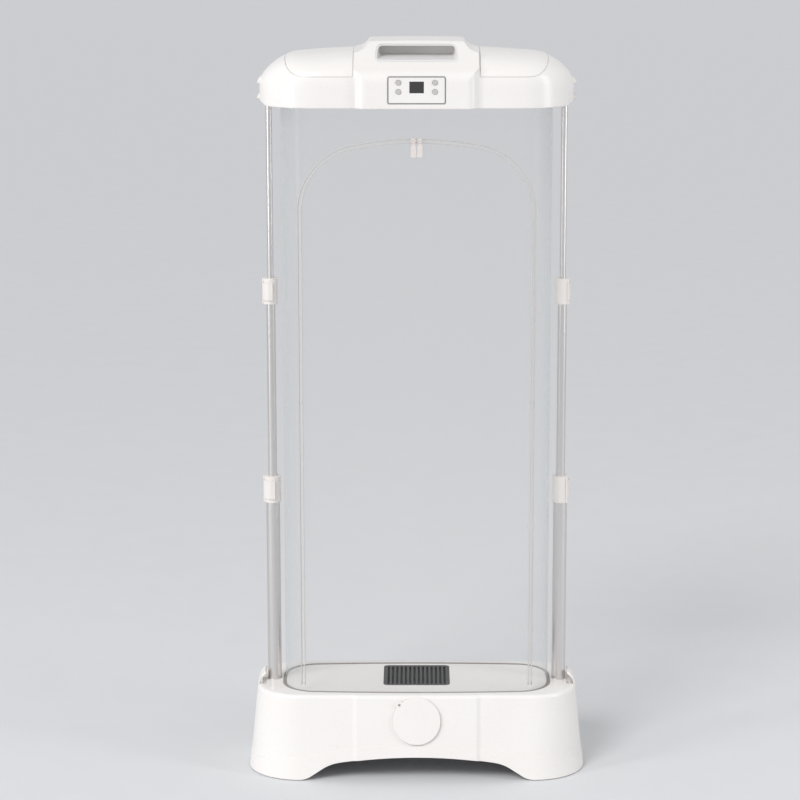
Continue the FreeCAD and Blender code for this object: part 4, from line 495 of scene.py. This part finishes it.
def zip_piece(stage):
    """The tape with a rib along each edge, as one object."""
    parts = []
    for side in (-1, 1):
        for run in zip_runs(side * (ZIP_WIDTH / 2 - RIB_RADIUS))[stage]:
            path = [front_of(x, z, RIB_RADIUS + TAPE_OFF) for x, z in run]
            parts.append(skinned(f"zip_rib_{stage}", tube_along(path, RIB_RADIUS), zip_rib_polymer))
    inner, outer = (zip_runs(side * ZIP_WIDTH / 2)[stage] for side in (-1, 1))
    for low, high in zip(inner, outer):
        rows = [[front_of(x, z, TAPE_OFF) for x, z in low], [front_of(x, z, TAPE_OFF) for x, z in high]]
        parts.append(skinned(f"zip_tape_{stage}", rows, zip_tape_clear, closed_rows=False))
    with bpy.context.temp_override(active_object=parts[0], selected_editable_objects=parts):
        bpy.ops.object.join()
    parts[0].name = f"zip_{stage}"
    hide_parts("zipper_tape")
    return parts[0]


lower_zip, upper_zip = zip_piece("lower"), zip_piece("upper")

for piece in (lower_film, lower_zip):
    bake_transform(piece)
for piece in (upper_film, upper_zip):
    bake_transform(piece)

# ---------------------------------------------------------------- the control panel's gasket, a grey bead of painted shade in its gap
plate_low, plate_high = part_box("control_plate")
GASKET_GAP = 2.3 * MM       # between the plate and the edge of its recess
GASKET_FIT = 0.1 * MM
GASKET_TALL = 0.7 * MM
PLATE_THICK, PLATE_ROUND = 1.6 * MM, 2 * MM
BEAD_LEAN = 20              # degrees by which the bead's crown starts up from its seat
BEAD_STEPS, BEND_STEPS = 8, 6


def gasket_ring(out, depth):
    """A round-cornered loop round the plate, this far out from its edge, at this depth."""
    middle_x, middle_z = (plate_low.x + plate_high.x) / 2, (plate_low.z + plate_high.z) / 2
    half_x, half_z = (plate_high.x - plate_low.x) / 2 + out, (plate_high.z - plate_low.z) / 2 + out
    corner = PLATE_ROUND + out
    loop = []
    for quarter, (way_x, way_z) in enumerate(((1, 1), (-1, 1), (-1, -1), (1, -1))):
        for turn in levels(quarter * math.pi / 2, (quarter + 1) * math.pi / 2, BEND_STEPS):
            loop.append(Vector((middle_x + way_x * (half_x - corner) + corner * math.cos(turn), depth,
                                middle_z + way_z * (half_z - corner) + corner * math.sin(turn))))
    return loop


def panel_gap_shade_bead():
    """A soft bead with a rounded crown that lies in the gap all round the plate, its grey painting the gap's
    shadow line.
    """
    seat = plate_low.y + PLATE_THICK - GASKET_FIT
    middle, half = GASKET_GAP / 2, GASKET_GAP / 2 - GASKET_FIT
    crown = [(middle - half * math.cos(t), seat - GASKET_TALL * math.sin(t))
             for t in levels(math.radians(BEAD_LEAN), math.radians(180 - BEAD_LEAN), BEAD_STEPS)]
    section = [(middle - half, seat)] + crown + [(middle + half, seat)]
    rings = [gasket_ring(out, depth) for out, depth in section]
    made = skinned("panel_gap_shade_bead", rings, panel_gap_shade_tpe, closed_ends=True)
    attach(made, "hood")


panel_gap_shade_bead()

# ---------------------------------------------------------------- floor and light
FLOOR_HALF = 60
FLOOR_GRAIN_MM = 4
SUN_STRENGTH, SUN_SPREAD = 1.25, 22                 # a wide sun, in degrees, for soft shadows
STRIP_WIDE, STRIP_TALL, STRIP_UP = 0.6, 2.2, 1.6    # one strip on each side draws a line down the poles
STRIP_AIM = (0, 0, 0.8)
LEFT_POWER, RIGHT_POWER = 26, 20
ROOM_LIGHT, ROOM_SEEN = 0.62, 0.80

floor = solid("floor", [(-FLOOR_HALF, -FLOOR_HALF, 0), (FLOOR_HALF, -FLOOR_HALF, 0),
                        (FLOOR_HALF, FLOOR_HALF, 0), (-FLOOR_HALF, FLOOR_HALF, 0)], [(0, 1, 2, 3)],
              moulded("pale_studio_floor", "#DCDDDF", "#D8D9DB", 0.75, FLOOR_GRAIN_MM, 0.01))


def lamp(name, kind, place_at, aim, energy, **settings):
    """A lamp that points from its place to its aim."""
    data = bpy.data.lights.new(name, kind)
    data.energy = energy
    for key, value in settings.items():
        setattr(data, key, value)
    made = bpy.data.objects.new(name, data)
    made.location = place_at
    made.rotation_euler = (Vector(aim) - Vector(place_at)).to_track_quat("-Z", "Y").to_euler()
    bpy.context.scene.collection.objects.link(made)


lamp("key_sun", "SUN", (-2.2, -3.4, 4.2), (0, 0, 0.6), SUN_STRENGTH, angle=math.radians(SUN_SPREAD))
lamp("left_strip", "AREA", (-2.6, -1.6, STRIP_UP), STRIP_AIM, LEFT_POWER, shape="RECTANGLE",
     size=STRIP_WIDE, size_y=STRIP_TALL)
lamp("right_strip", "AREA", (2.6, -1.2, STRIP_UP), STRIP_AIM, RIGHT_POWER, shape="RECTANGLE",
     size=STRIP_WIDE, size_y=STRIP_TALL)

# the pale room: a little brighter to the camera, in gloss and through clear film than as light
world = bpy.data.worlds.new("studio")
world.use_nodes = True
bpy.context.scene.world = world
tree = world.node_tree
seen = add(world, "ShaderNodeLightPath")
either = add(world, "ShaderNodeMath", [(seen.outputs["Is Camera Ray"], 0), (seen.outputs["Is Glossy Ray"], 1)],
             operation="MAXIMUM")
shown = add(world, "ShaderNodeMath", [(either.outputs[0], 0), (seen.outputs["Is Transmission Ray"], 1)],
            operation="MAXIMUM")
level = add(world, "ShaderNodeMapRange", [(shown.outputs[0], "Value")], input_To_Min=ROOM_LIGHT,
            input_To_Max=ROOM_SEEN)
join(world, level.outputs[0], tree.nodes["Background"].inputs["Strength"])
tree.nodes["Background"].inputs["Color"].default_value = linear("#F4F5F7")
bpy.context.scene.view_settings.view_transform = "Standard"
